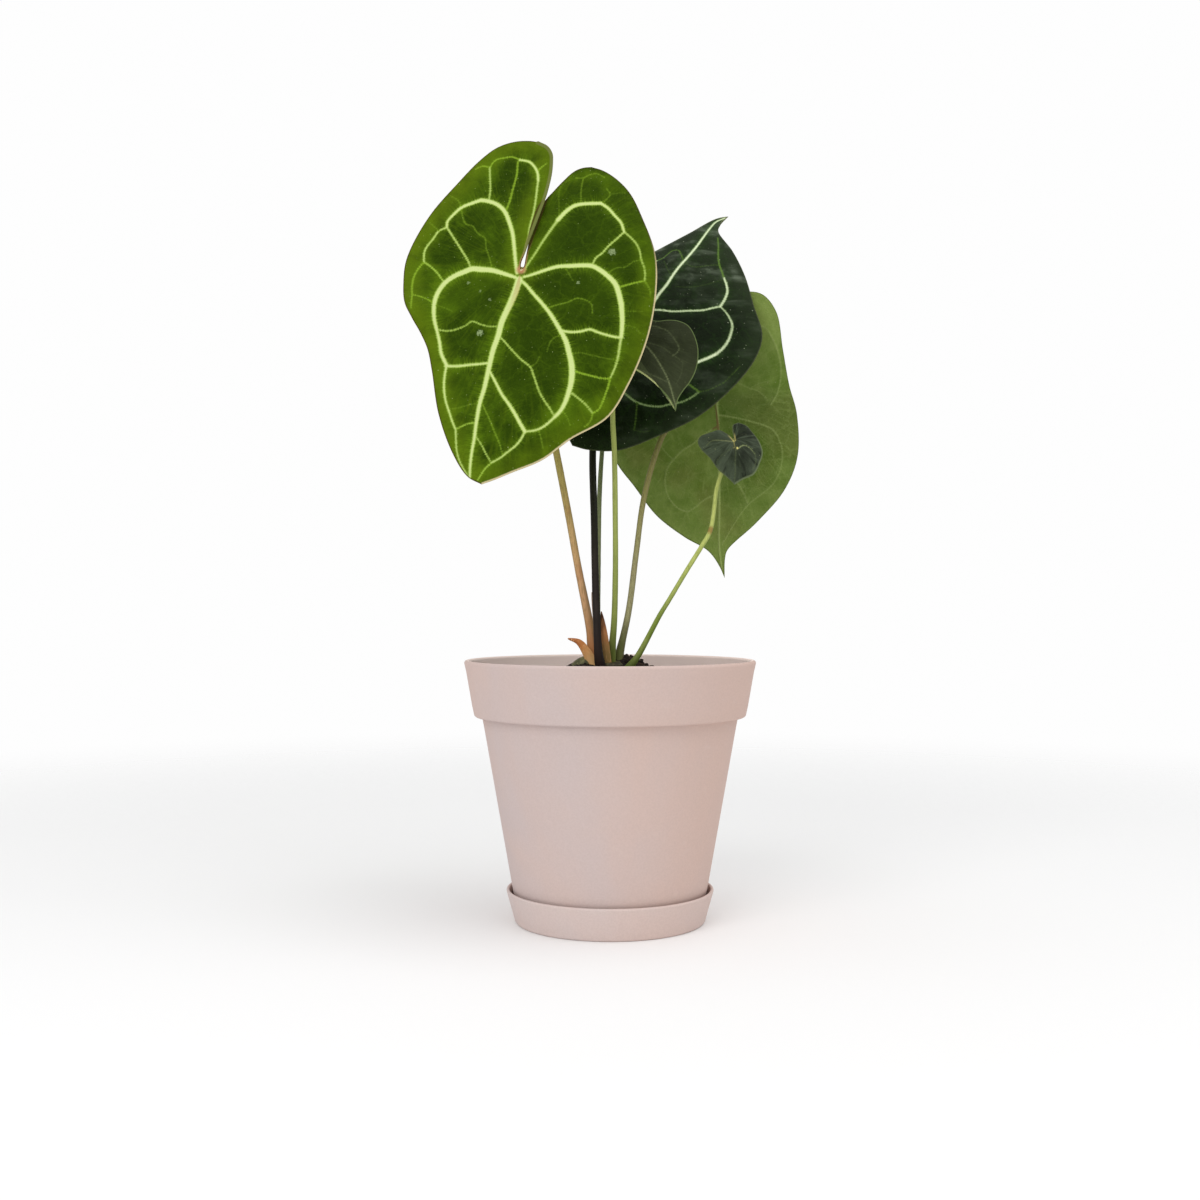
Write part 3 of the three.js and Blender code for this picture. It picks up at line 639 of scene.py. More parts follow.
# Leaf stalks: six round stalks that leave the crown in turn, each swollen at its foot and again in
# the knee under its leaf. The older the stalk, the browner and darker its skin.
stalk_rings = 150
stalk_sides = 22
foot_swelling = 0.7
stalks = {
    "stalk_1": {
        "route": [(-5, 1, 149), (-10.5, 1, 167), (-12.4, 0, 181), (-19.5, -5, 217), (-24.9, -10, 247),
                  (-32.9, -15, 288.4), (-39.6, -18, 321.6), (-47, -17, 360), (-51.6, -18, 384),
                  (-53.2, -25, 392.6), (-53.2, -28.7, 394.1), (-53.36, -31.24, 394.94)],
        "radii": (3.4, 2.15, 1.9, 2.6), "slot": "stalk_tan",
        "base": (186, 126, 80), "low": (208, 164, 120), "high": (180, 166, 94), "knee": (164, 154, 82),
        "streak": (120, 104, 62), "flush": (176, 108, 84),
    },
    "stalk_2": {
        "route": [(-3, -4, 148), (-6.6, -11, 161), (-8.2, -9.5, 186), (-9.2, -4, 217), (-9.8, 3, 248),
                  (-10.8, 19, 292), (-9, 30, 318), (-3.5, 41, 340), (0.5, 44, 349), (2.8, 38, 355.1),
                  (2.33, 35.7, 356.33)],
        "radii": (2.7, 2.2, 2.2, 2.7), "slot": "stalk_dark",
        "base": (46, 34, 30), "low": (42, 36, 32), "high": (36, 37, 26), "knee": (40, 44, 28),
        "streak": (20, 19, 16), "flush": (58, 52, 46),
    },
    "stalk_3": {
        "route": [(-3, 4, 148), (-7, 10.5, 162), (-7.6, 13, 191), (-7.3, 18, 217), (-6.7, 34, 261),
                  (-5, 54, 294), (-3.6, 66, 310), (-1.4, 69, 321), (-1.2, 63.3, 325.9),
                  (-1.04, 60.76, 326.75)],
        "radii": (2.2, 1.6, 1.4, 1.7), "slot": "stalk_green",
        "base": (106, 112, 66), "low": (126, 132, 92), "high": (136, 146, 104), "knee": (130, 142, 88),
        "streak": (84, 90, 62), "flush": (132, 120, 92),
    },
    "stalk_4": {
        "route": [(0, 0, 150), (0.9, -1, 164), (2.6, -3, 186), (3.3, -6, 217), (3.2, -8, 247),
                  (2.6, -10, 288.6), (1.6, -10, 310), (2, -8.5, 335), (4.2, -6.5, 354), (4.9, -10.6, 362.1),
                  (4.83, -13.22, 362.65)],
        "radii": (2.5, 1.65, 1.5, 1.8), "slot": "stalk_green",
        "base": (66, 76, 22), "low": (146, 158, 80), "high": (166, 176, 96), "knee": (172, 182, 104),
        "streak": (122, 134, 70), "flush": (190, 196, 128),
    },
    "stalk_5": {
        "route": [(3, 3, 149), (6.2, 6, 165.5), (11.8, 10, 191.3), (16.7, 16, 228), (21.6, 25, 262),
                  (30, 38, 293), (37, 48, 309), (54, 62, 328), (67, 72, 337), (71.1, 82.6, 337.9),
                  (71.4, 85.21, 338.29)],
        "radii": (2.5, 1.8, 1.65, 2.3), "slot": "stalk_tan",
        "base": (76, 84, 32), "low": (172, 168, 124), "high": (156, 150, 92), "knee": (112, 90, 58),
        "streak": (104, 96, 66), "flush": (150, 126, 104),
    },
    "stalk_6": {
        "route": [(5, -3, 148), (11.5, -5.5, 156), (17.1, -7, 163.6), (30.6, -8.5, 188.8), (36.2, -9, 198),
                  (47.2, -9, 216.4), (56.4, -8, 231.2), (61.6, -6.5, 240.5), (64.3, -4, 254.5),
                  (65.8, -2, 265.7), (69, 0, 276.5), (73.6, 0.5, 288), (76.3, -3, 294.8),
                  (76.3, -5.3, 296.11)],
        "radii": (2.5, 1.42, 1.28, 1.6), "slot": "stalk_green",
        "base": (62, 76, 24), "low": (112, 134, 46), "high": (186, 194, 110), "knee": (186, 194, 112),
        "streak": (112, 134, 58), "flush": (188, 190, 122), "scar": 0.644,
    },
}


def stalk_radii(foot, middle, top, joint):
    """The radius at each ring: thick at the foot, slender between, and swollen in the knee."""
    radii = []
    for i in range(stalk_rings):
        t = i / (stalk_rings - 1)
        lower = (foot - middle) * max(0, 1 - 2.3 * t) ** 2.4
        upper = (top - middle) * max(0, 2 * t - 1)
        knee = min(max((t - 0.93) / 0.05, 0), 1)
        knee = (joint - top) * knee * knee * (3 - 2 * knee)
        swollen = foot_swelling * math.exp(-(((t - 0.05) / 0.04) ** 2))
        radii.append(middle + lower + upper + knee + swollen + 0.06 * noise.noise((t * 40, foot, 1)))
    return radii


def stalk_finish(name, stalk):
    """A stalk's skin, from its colours: fine ribs, patches, a darker foot, and painted shade down both
    sides.
    """
    skin = Finish(name, stalk, Specular_IOR_Level=0.1)
    place = skin.place()
    along = skin.value("along")
    shade = skin.value("shade")
    ribs = skin.noise(skin.upright(place, 0.05), 1400, 3)
    patches = skin.noise(skin.upright(place, 0.5), 70, 4)
    specks = skin.noise(place, 1800, 2)
    color = skin.layers(
        "low",
        (skin.step(along + (patches - 0.5) * 0.2, 0.2, 0.55), "high"),
        (skin.step(along, 0.9, 0.97), "knee"),
        (skin.step(ribs, 0.45, 0.7) * 0.45, "streak"),
        (skin.step(patches, 0.5, 0.7) * 0.4, "flush"),
        (skin.step(specks, 0.66, 0.74) * 0.5, "flush"),
        (skin.step(along + (patches - 0.5) * 0.06, 0.18, 0.07) * 0.88, "base"),
        # Painted shade: the stalk's left and right sides are darkened with the streak colour, most on the
        # right.
        (skin.step(shade, 0, 1) * 0.5 + skin.step(shade, -0.5, -1) * 0.45, "streak"))
    if "scar" in stalk:
        from_scar = skin.node("ShaderNodeMath", {"operation": "ABSOLUTE"}, {0: along - stalk["scar"]})
        scar = 1 - skin.step(from_scar + (specks - 0.5) * 0.02, 0.006, 0.02)
        color = skin.blend(scar * 0.75, color, (138, 100, 52))
    skin.paint(Base_Color=color, Roughness=0.4 + patches * 0.2)
    skin.bump(ribs * 0.7 + specks * 0.3, 0.00012)
    return skin


for node, stalk in stalks.items():
    spots = smooth_route(stalk["route"], stalk_rings)
    stalk_points, stalk_faces = stem(spots, stalk_radii(*stalk["radii"]), stalk_sides)
    outward = np.asarray(stalk_points) - np.repeat(spots, stalk_sides, axis=0)
    make_piece(node + "_stem", stalk_points, stalk_faces, stalk_finish(node + "_skin", stalk),
               stalk["slot"], node, {
                   "along": np.repeat(np.linspace(0, 1, stalk_rings), stalk_sides),
                   "shade": outward[:, 0] / np.linalg.norm(outward, axis=1),
               })

# Leaves: heart-shaped blades that hang from their knees, velvety deep green above with a net of pale
# veins, and paler below, where the veins stand out as ribs.
outline_steps = 801
rim_steps = 160
rim_reach = 20
vein_reach = 9
vein_step = 1.6
vein_edge = 0.35
blade_half_thickness = 0.35
cell_swell = 0.4
vein_sink = 0.16
rib_height = 0.55
roll_height = 1.1


def eased(value):
    """0 below 0 and 1 above 1, with a soft change between them."""
    t = np.clip(value, 0, 1)
    return t * t * (3 - 2 * t)


class Blade:
    """A leaf drawn flat, across and along its midrib from the joint, and its place in space.

    roof holds how steeply the right and left half fall away from the midrib, and ridge how round it
    is there. curl and nod bend the tip and the lobes, and wave has its height, count and phase. fold
    has its place, reach and depth, and lap holds the left lobe in front of the right one.
    """

    def __init__(self, joint, along, facing, length, roof, ridge, curl, nod, wave, fold=None, lap=0):
        self.origin = np.array(joint, float)
        self.along = np.array(along, float)
        self.along /= np.linalg.norm(self.along)
        self.up = np.array(facing, float)
        self.up -= self.along * self.up.dot(self.along)
        self.up /= np.linalg.norm(self.up)
        self.across = np.cross(self.up, self.along)
        self.length = length
        self.roof_right, self.roof_left = roof
        self.ridge, self.curl, self.nod = ridge, curl, nod
        self.wave, self.waves, self.phase = wave
        self.fold = fold
        self.lap = lap

    def height(self, p, q, side):
        """How far a flat place is raised towards the viewer of the upper face."""
        roof = np.where(p > 0, self.roof_right, self.roof_left)
        h = -roof * (np.hypot(p, self.ridge) - self.ridge)
        h -= np.where(q > 0, self.curl, self.nod) * q * q / self.length
        swell = self.wave * (np.hypot(p, q) / self.length) ** 3
        h += swell * np.sin(self.waves * np.arctan2(p, q) + self.phase)
        if self.fold:
            fold_p, fold_q, size, depth = self.fold
            h += depth * np.exp(-((p - fold_p) ** 2 + (q - fold_q) ** 2) / size ** 2)
        return h - side * self.lap * eased(-q / 20) * np.exp(-np.abs(p) / 25)

    def place(self, flat, side, offset):
        """Places in space of flat places, each raised by its offset square to the blade."""
        p, q = flat[:, 0], flat[:, 1]
        h = self.height(p, q, side)
        near = 0.05
        slope_p = (self.height(p + near, q, side) - h) / near
        slope_q = (self.height(p, q + near, side) - h) / near
        normal = self.up - slope_p[:, None] * self.across - slope_q[:, None] * self.along
        normal /= np.linalg.norm(normal, axis=1)[:, None]
        return (self.origin + p[:, None] * self.across + q[:, None] * self.along
                + h[:, None] * self.up + normal * np.asarray(offset)[:, None])


def at_shares(route, shares):
    """Places at these shares of a route's length."""
    even = smooth_route(route, outline_steps)
    grid = np.linspace(0, 1, outline_steps)
    return np.stack([np.interp(shares, grid, column) for column in even.T], axis=1)


def half_grid(half, length, columns, rows):
    """Flat places of half a blade: columns 0 to 1 run from tip to joint, 1 to 2 on up the lobe."""
    margin, sinus, turn = half
    blade_part = columns[columns <= 1]
    lobe_part = columns[columns > 1] - 1
    outer = at_shares(margin, np.concatenate([blade_part * turn, turn + lobe_part * (1 - turn)]))
    midrib = np.stack([0 * blade_part, length * (1 - blade_part)], axis=1)
    inner = np.vstack([midrib, at_shares(sinus, lobe_part)])
    return inner[:, None, :] + (outer - inner)[:, None, :] * rows[None, :, None]


def nearest(flat, route, widths, reach=vein_reach):
    """How far inside a strip along the route each flat place lies, less than 0 outside it, and how
    far along the route the place is."""
    inside = np.full(len(flat), -float(reach))
    run = np.zeros(len(flat))
    low, high = route.min(axis=0) - reach, route.max(axis=0) + reach
    near = np.nonzero(np.all((flat > low) & (flat < high), axis=1))[0]
    places = flat[near]
    best = inside[near]
    best_run = run[near]
    done = 0
    for a, b, from_half, to_half in zip(route, route[1:], widths, widths[1:]):
        way = b - a
        size = np.linalg.norm(way)
        t = np.clip(((places - a) @ way) / size ** 2, 0, 1)
        depth = from_half + (to_half - from_half) * t
        depth -= np.linalg.norm(places - a - t[:, None] * way, axis=1)
        best_run = np.where(depth > best, done + t * size, best_run)
        best = np.maximum(best, depth)
        done += size
    inside[near] = best
    run[near] = best_run
    return inside, run


def vein_values(flat, veins):
    """The nearest vein's depth in millimetres, the run along it, its paleness, and all veins' glow.
    A vein has its width at its start and end, its paleness and its route."""
    inside = np.full(len(flat), -float(vein_reach))
    run = np.zeros(len(flat))
    pale = np.zeros(len(flat))
    glow = np.zeros(len(flat))
    for i, (start, end, strength, route) in enumerate(veins):
        spots = np.asarray(route, float)
        length = np.linalg.norm(np.diff(spots, axis=0), axis=1).sum()
        smooth = smooth_route(spots, max(3, int(length / vein_step)))
        depth, along = nearest(flat, smooth, np.linspace(start, end, len(smooth)) / 2)
        closer = depth > inside
        inside[closer] = depth[closer]
        run[closer] = along[closer] + 37 * i
        pale[closer] = strength
        fade = 0.9 + 0.6 * start
        glow = np.maximum(glow, strength * min(1, start / 2.2) * np.exp(np.minimum(depth, 0) / fade))
    return inside, run, pale, glow


def spread(veins, scale):
    """The same veins with their distance from the midrib scaled, and less than 0 on the other half."""
    return [(start, end, pale, [(scale * p, q) for p, q in route]) for start, end, pale, route in veins]


def rim_distance(flat, right, left):
    """How far each flat place is from the blade's edge."""
    edges = np.full(len(flat), -float(rim_reach))
    for line in (*right[:2], *left[:2]):
        inside, _ = nearest(flat, smooth_route(line, rim_steps), np.zeros(rim_steps), rim_reach)
        edges = np.maximum(edges, inside)
    return -edges


def make_leaf(name, blade, right, left, veins, finish, slot, mesh, rolled=0):
    """One blade. right and left hold the outline of a half, the edge of its notch, and the share of
    the outline where the joint is level. mesh holds the numbers of blade columns, lobe columns, and
    rows above and below, and rolled is the width of the left lobe's rolled edge."""
    blade_columns, lobe_columns, rows_above, rows_below = mesh
    columns = np.concatenate([
        np.linspace(0.004, 1, blade_columns), 1 + np.linspace(0, 0.996, lobe_columns)[1:]])
    count = len(columns)
    flats, sides, layers, faces = [], [], [], []
    edges = {}
    start = 0
    for layer, row_count in ((1, rows_above), (-1, rows_below)):
        rows = np.append(np.linspace(0, 0.985, row_count - 2), [0.993, 1])
        tip = start
        tops = {1: start + 1, -1: start + 2}
        flats.append(np.array([[0, blade.length], right[0][-1], left[0][-1]], float))
        sides.append(np.array([1, 1, -1]))
        start += 3
        midrib = None
        for side, half in ((1, right), (-1, left)):
            grid = half_grid(half, blade.length, columns, rows)
            ids = start + np.arange(count * row_count).reshape(count, row_count)
            start += count * row_count
            flats.append(grid.reshape(-1, 2))
            sides.append(np.full(count * row_count, side))
            if midrib is None:
                midrib = ids[:blade_columns, 0].copy()
            else:
                ids[:blade_columns, 0] = midrib
            a, b = ids[:-1, :-1], ids[:-1, 1:]
            c, d = ids[1:, 1:], ids[1:, :-1]
            quads = np.stack([a, b, c, d] if side * layer > 0 else [a, d, c, b], axis=-1)
            faces += quads.reshape(-1, 4).tolist()
            for first, ring in ((tip, ids[0].tolist()), (tops[side], ids[-1].tolist())):
                flip = (side * layer > 0) == (first == tip)
                for pair in zip(ring, ring[1:]):
                    faces.append([first, *(pair[::-1] if flip else pair)])
            edges[layer, side] = (
                [tip, *ids[:, -1].tolist(), tops[side]],
                [*ids[blade_columns - 1:, 0].tolist(), tops[side]])
        layers.append(np.full(start - tip, layer))
    for half in (1, -1):
        for outer, (upper, lower) in enumerate(zip(edges[1, half], edges[-1, half])):
            for i in range(len(upper) - 1):
                rim = [upper[i], upper[i + 1], lower[i + 1], lower[i]]
                faces.append(rim if (half > 0) == (outer == 0) else rim[::-1])
    flat = np.vstack(flats)
    side = np.concatenate(sides)
    above = np.concatenate(layers) > 0
    inside, run, pale, glow = vein_values(flat, veins)
    rim = rim_distance(flat, right, left)
    mask = eased((inside + vein_edge) / (2 * vein_edge)) * pale
    cell = eased(-inside / 5) * eased(rim / 4)
    swell = cell_swell * cell
    body = blade_half_thickness * (0.5 + 0.5 * np.clip(rim / 0.9, 0, 1))
    upper_face = body + swell - vein_sink * mask
    lower_face = -body + swell - rib_height * mask * eased(rim / 2)
    offset = np.where(above, upper_face, lower_face)
    roll = np.zeros(len(flat))
    if rolled:
        strip = nearest(flat, smooth_route(left[1], 200), np.zeros(200))[0]
        roll = np.where(side < 0, eased(1 + strip / rolled), 0) * eased(-flat[:, 1] / 25)
        offset = offset + roll_height * roll ** 2
    places = blade.place(flat, side, offset)
    used = np.unique([i for face in faces for i in face])
    renumber = np.zeros(len(flat), int)
    renumber[used] = np.arange(len(used))
    kept = {
        "inside": inside, "run": run, "pale": pale, "glow": glow, "rim": rim, "roll": roll,
        "below": np.where(above, 0.0, 1.0), "half": side,
        "reach": np.hypot(flat[:, 0], flat[:, 1]) / blade.length,
        "turn": np.arctan2(flat[:, 0], flat[:, 1]),
        "flat": np.column_stack([flat, np.zeros(len(flat))]),
    }
    make_piece(name + "_blade", places[used], [renumber[face].tolist() for face in faces], finish, slot,
               name, {key: data[used] for key, data in kept.items()})


def leaf_finish(name, roughness=0.5, gloss=0.06, pale_side=1, tip_share=0, right_deep=0, crease=0,
                fine_below=False, lean=None, shine=0, marks=(), **skin):
    """A blade's skin, from its colours. pale_side is the half with a pale lip, tip_share and
    right_deep are how far the tip pales and the right half darkens with painted shade, and crease is
    the folds' depth, which also paints highlights on their ridges and shade in their hollows. lean
    and shine are the way and the strength of painted sheen in streaks, and marks holds the places,
    sizes and shares of pale spots."""
    leaf = Finish(name, skin, Specular_IOR_Level=gloss)
    step = leaf.step
    flat = leaf.spot("flat")
    inside, pale, rim, half, turn, reach, glow = [
        leaf.value(key) for key in ("inside", "pale", "rim", "half", "turn", "reach", "glow")]
    aside = turn * turn
    clouds = leaf.noise(flat, 0.035, 3, 0.5)
    blotches = leaf.noise(flat, 0.12, 4, 0.4)
    patches = clouds * 0.5 + blotches * 0.5
    grain = leaf.noise(flat, 1.1, 4)
    whiskers = leaf.noise(flat, 0.9, 4) - 0.5
    specks = leaf.noise(flat, 0.75, 1)
    rays = leaf.noise(leaf.pair(turn * 22, reach * 3), 2.2, 2)
    folds = leaf.noise(leaf.pair(turn * 3.2, reach * 1.6), 1.3, 2, 0.6)
    teeth = leaf.noise(leaf.pair(leaf.value("run"), inside * 0.12), 1.3, 3)
    depth = inside + (teeth - 0.5) * 1.8 + whiskers
    vein = step(depth, -0.5, 0.45) * (pale * (0.35 + pale * 0.65))
    core = step(inside + (teeth - 0.5) * 0.6, 0.05, 0.95)
    halo = glow * (0.12 + step(teeth, 0.4, 0.66) * 0.6)
    push = leaf.node("ShaderNodeTexNoise", inputs={"Vector": flat, "Scale": 0.25, "Detail": 2}, output=1)
    wavy = leaf.node("ShaderNodeVectorMath", {"operation": "MULTIPLY_ADD"}, {0: push, 1: (7, 7, 0), 2: flat})
    cells, small_cells = [
        leaf.node("ShaderNodeTexVoronoi", {"feature": "DISTANCE_TO_EDGE"}, {"Vector": wavy, "Scale": scale})
        for scale in (0.085, 0.45)]
    net = 1 - step(cells + whiskers * 0.08, 0, 0.06)
    small_net = 1 - step(small_cells, 0, 0.12)
    shaded_half = step(half, -0.6, 0.8) * step(rim, 2, 16) * step(reach, 0.72, 0.5)
    toward_tip = step(reach, 0.3, 0.75) * step(aside, 0.5, 0.05)
    margin = (1 - step(rim, 1.5, 17)) * (0.3 + blotches * 0.6)
    low_side = step(half * pale_side, -0.2, 0.2) * step(aside, 4.4, 2.6)
    color = leaf.layers(
        "deep",
        (step(clouds * 0.65 + blotches * 0.35, 0.4, 0.62), "fresh"),
        (step(rays, 0.45, 0.75) * 0.3, "edge"),
        (step(inside, -0.5, -6.5) * 0.45, "deep"),
        # Painted shade: the right half's inner part is darkened, as far as right_deep says.
        (shaded_half * right_deep, "deep"),
        (toward_tip * tip_share, "edge"),
        (margin * (step(half, 1.6, -1.2) + low_side * 0.5), "edge"),
        (net * 0.1 + small_net * 0.05, "halo"),
        (step(grain, 0.5, 0.8) * 0.3, "deep"))
    # Painted sheen: pale streaks across the upper face, stronger towards the tip, where a silky leaf catches
    # the light.
    if lean:
        p, q = [leaf.node("ShaderNodeSeparateXYZ", inputs={0: flat}, output=axis) for axis in (0, 1)]
        streak_place = leaf.pair(p * lean[1] - q * lean[0], (p * lean[0] + q * lean[1]) * 0.2)
        streaks = step(leaf.noise(streak_place, 0.08, 4, 0.6), 0.46, 0.68)
        gleam = step(patches, 0.42, 0.62) * shine * (0.35 + toward_tip)
        color = leaf.blend(streaks * gleam, color, "streak")
    # Painted highlights and shade: fold ridges are painted paler and fold hollows darker.
    if crease:
        color = leaf.layers(
            color, (step(folds, 0.5, 0.66) * 0.55, "edge"), (step(folds, 0.42, 0.34) * 0.6, "deep"))
    vein_color = leaf.blend(core, "vein", "core")
    vein_color = leaf.blend(step(pale, 0.92, 0.8), vein_color, skin.get("thin", vein_color))
    flush = step(inside, -0.6, 0.3) * step(aside, 0.02, 0.005)
    color = leaf.layers(
        color,
        (halo, "halo"),
        (vein, vein_color),
        (flush * step(reach, 0.28, 0.03) * 0.45, "joint"),
        (step(specks, 0.74, 0.79) * 0.4, "core"))
    for mark_place, size, share in marks:
        ends = {0: flat, 1: (*mark_place, 0)}
        away = leaf.node("ShaderNodeVectorMath", {"operation": "DISTANCE"}, ends, output=1)
        spot = 1 - step(away + whiskers * (size * 2.5), size * 0.5, size)
        color = leaf.blend(spot * (share * grain), color, "mark")
    lip = 1 - step(rim * (1 - low_side * 0.35) + whiskers * 0.4, 0.3, 0.8)
    color = leaf.layers(
        color,
        (1 - step(reach + whiskers * 0.01, 0.008, 0.03), "joint"),
        (step(rim, 1.6, 0.3) * step(reach, 0.2, 0.05) * 0.8, "joint"),
        (lip * 0.9, leaf.blend(low_side, "dark_lip", "lip")))
    if "rolled" in skin:
        color = leaf.blend(step(leaf.value("roll"), 0.15, 0.5) * 0.8, color, "rolled")
    shaded = step(half, 0.2, -0.6) * step(aside, 3.2, 1.6) * step(reach, 0.85, 0.35)
    ribs = step(depth, -0.6, 0.5) * pale if fine_below else step(glow, 0.15, 0.8)
    under = leaf.layers(
        "below",
        (step(patches, 0.3, 0.7) * 0.7, "below_pale"),
        (step(reach, 0.5, 1) * 0.6, "below_pale"),
        (step(leaf.noise(flat, 0.02, 2), 0.45, 0.62) * 0.22, "joint"),
        (step(grain, 0.45, 0.75) * 0.25, "below"),
        # Painted shadow: part of the underside's left half near the joint is darkened, where the leaf beside
        # it casts shade.
        (shaded * 0.45, "fresh"),
        (step(aside, 3, 6) * 0.5, "below_pale"),
        (step(rays, 0.5, 0.8) * 0.3, "below_pale"),
        (net * 0.12 + small_net * 0.08, "below_vein"),
        (halo * 0.3, "below_pale"),
        (ribs * 0.75, "below_vein"),
        (flush * step(reach, 0.42, 0.15) * 0.8, "joint"),
        (step(specks, 0.72, 0.77) * 0.7, "lip"),
        (lip * 0.6, "dark_lip"))
    leaf.paint(Base_Color=leaf.blend(leaf.value("below"), color, under),
               Roughness=roughness + grain * 0.16 - vein * 0.05)
    leaf.bump(grain * 0.6 + small_net * 0.25 + rays * 0.15 + folds * crease, 0.00018)
    return leaf


# Leaf 1: the big bright leaf at the front left. It hangs tip down and shows its upper face; its left
# lobe laps over the right one, and the lobe's inner edge is rolled forward.
# Its right half is darkened with painted shade, where that lobe lies in shade.
leaf_1_finish = leaf_finish(
    "leaf_1_skin", gloss=0.03, right_deep=0.65, marks=(
        ((51.9, -20.3), 2.8, 1.2), ((-17.2, 44.3), 2.2, 1.3), ((35, 4), 1.3, 1.1), ((-30, 12), 1.2, 0.8),
        ((-22, 17), 1, 0.7), ((-15, 22), 1.2, 0.7)),
    deep=(34, 54, 0), fresh=(66, 92, 5), edge=(94, 116, 12), vein=(148, 176, 72), core=(197, 212, 138),
    thin=(148, 184, 52), halo=(96, 126, 16), lip=(206, 190, 148), dark_lip=(70, 58, 24),
    rolled=(112, 118, 66), below=(104, 124, 62), below_pale=(128, 146, 84), below_vein=(164, 176, 118),
    joint=(176, 128, 92), mark=(150, 168, 120))
leaf_1 = Blade((-53.4, -32, 395.2), (-0.15, -0.31, -0.94), (-0.05, -0.95, 0.32), 138,
               roof=(0.06, 0.06), ridge=6, curl=0.05, nod=0.06, wave=(3, 4, 0.6),
               fold=(-62, 34, 13, 5), lap=1.6)
leaf_1_right = (
    [(0, 138), (6, 135), (16, 129), (32, 119), (46, 104), (65, 87), (74, 65), (81, 34), (82, 4), (78, -22),
     (66, -48), (58, -62), (52, -69), (44, -75.3), (37, -78.7), (30, -80)],
    [(0, 0), (1.3, -2.5), (1.3, -8.6), (1.1, -17.6), (1.5, -30), (3, -42), (6.5, -52), (9.8, -58),
     (14.1, -65.8), (20.2, -75), (25, -78.5), (30, -80)], 0.61)
leaf_1_left = (
    [(0, 138), (-9, 134), (-20, 121), (-33, 97), (-42, 70), (-47, 57), (-53, 47.5), (-59, 40), (-65, 31),
     (-69.5, 16), (-71, -2), (-63, -33), (-50, -58), (-39, -76), (-30, -86), (-20, -91), (-10, -92.3),
     (-4.5, -91.5)],
    [(0, 0), (-0.7, -4.4), (0.7, -11), (2.3, -20), (4.1, -31), (5.5, -40.7), (6.8, -51), (7.4, -60),
     (7.5, -69), (6.7, -77.5), (5.4, -83.5), (2, -88.2), (-4.5, -91.5)], 0.56)
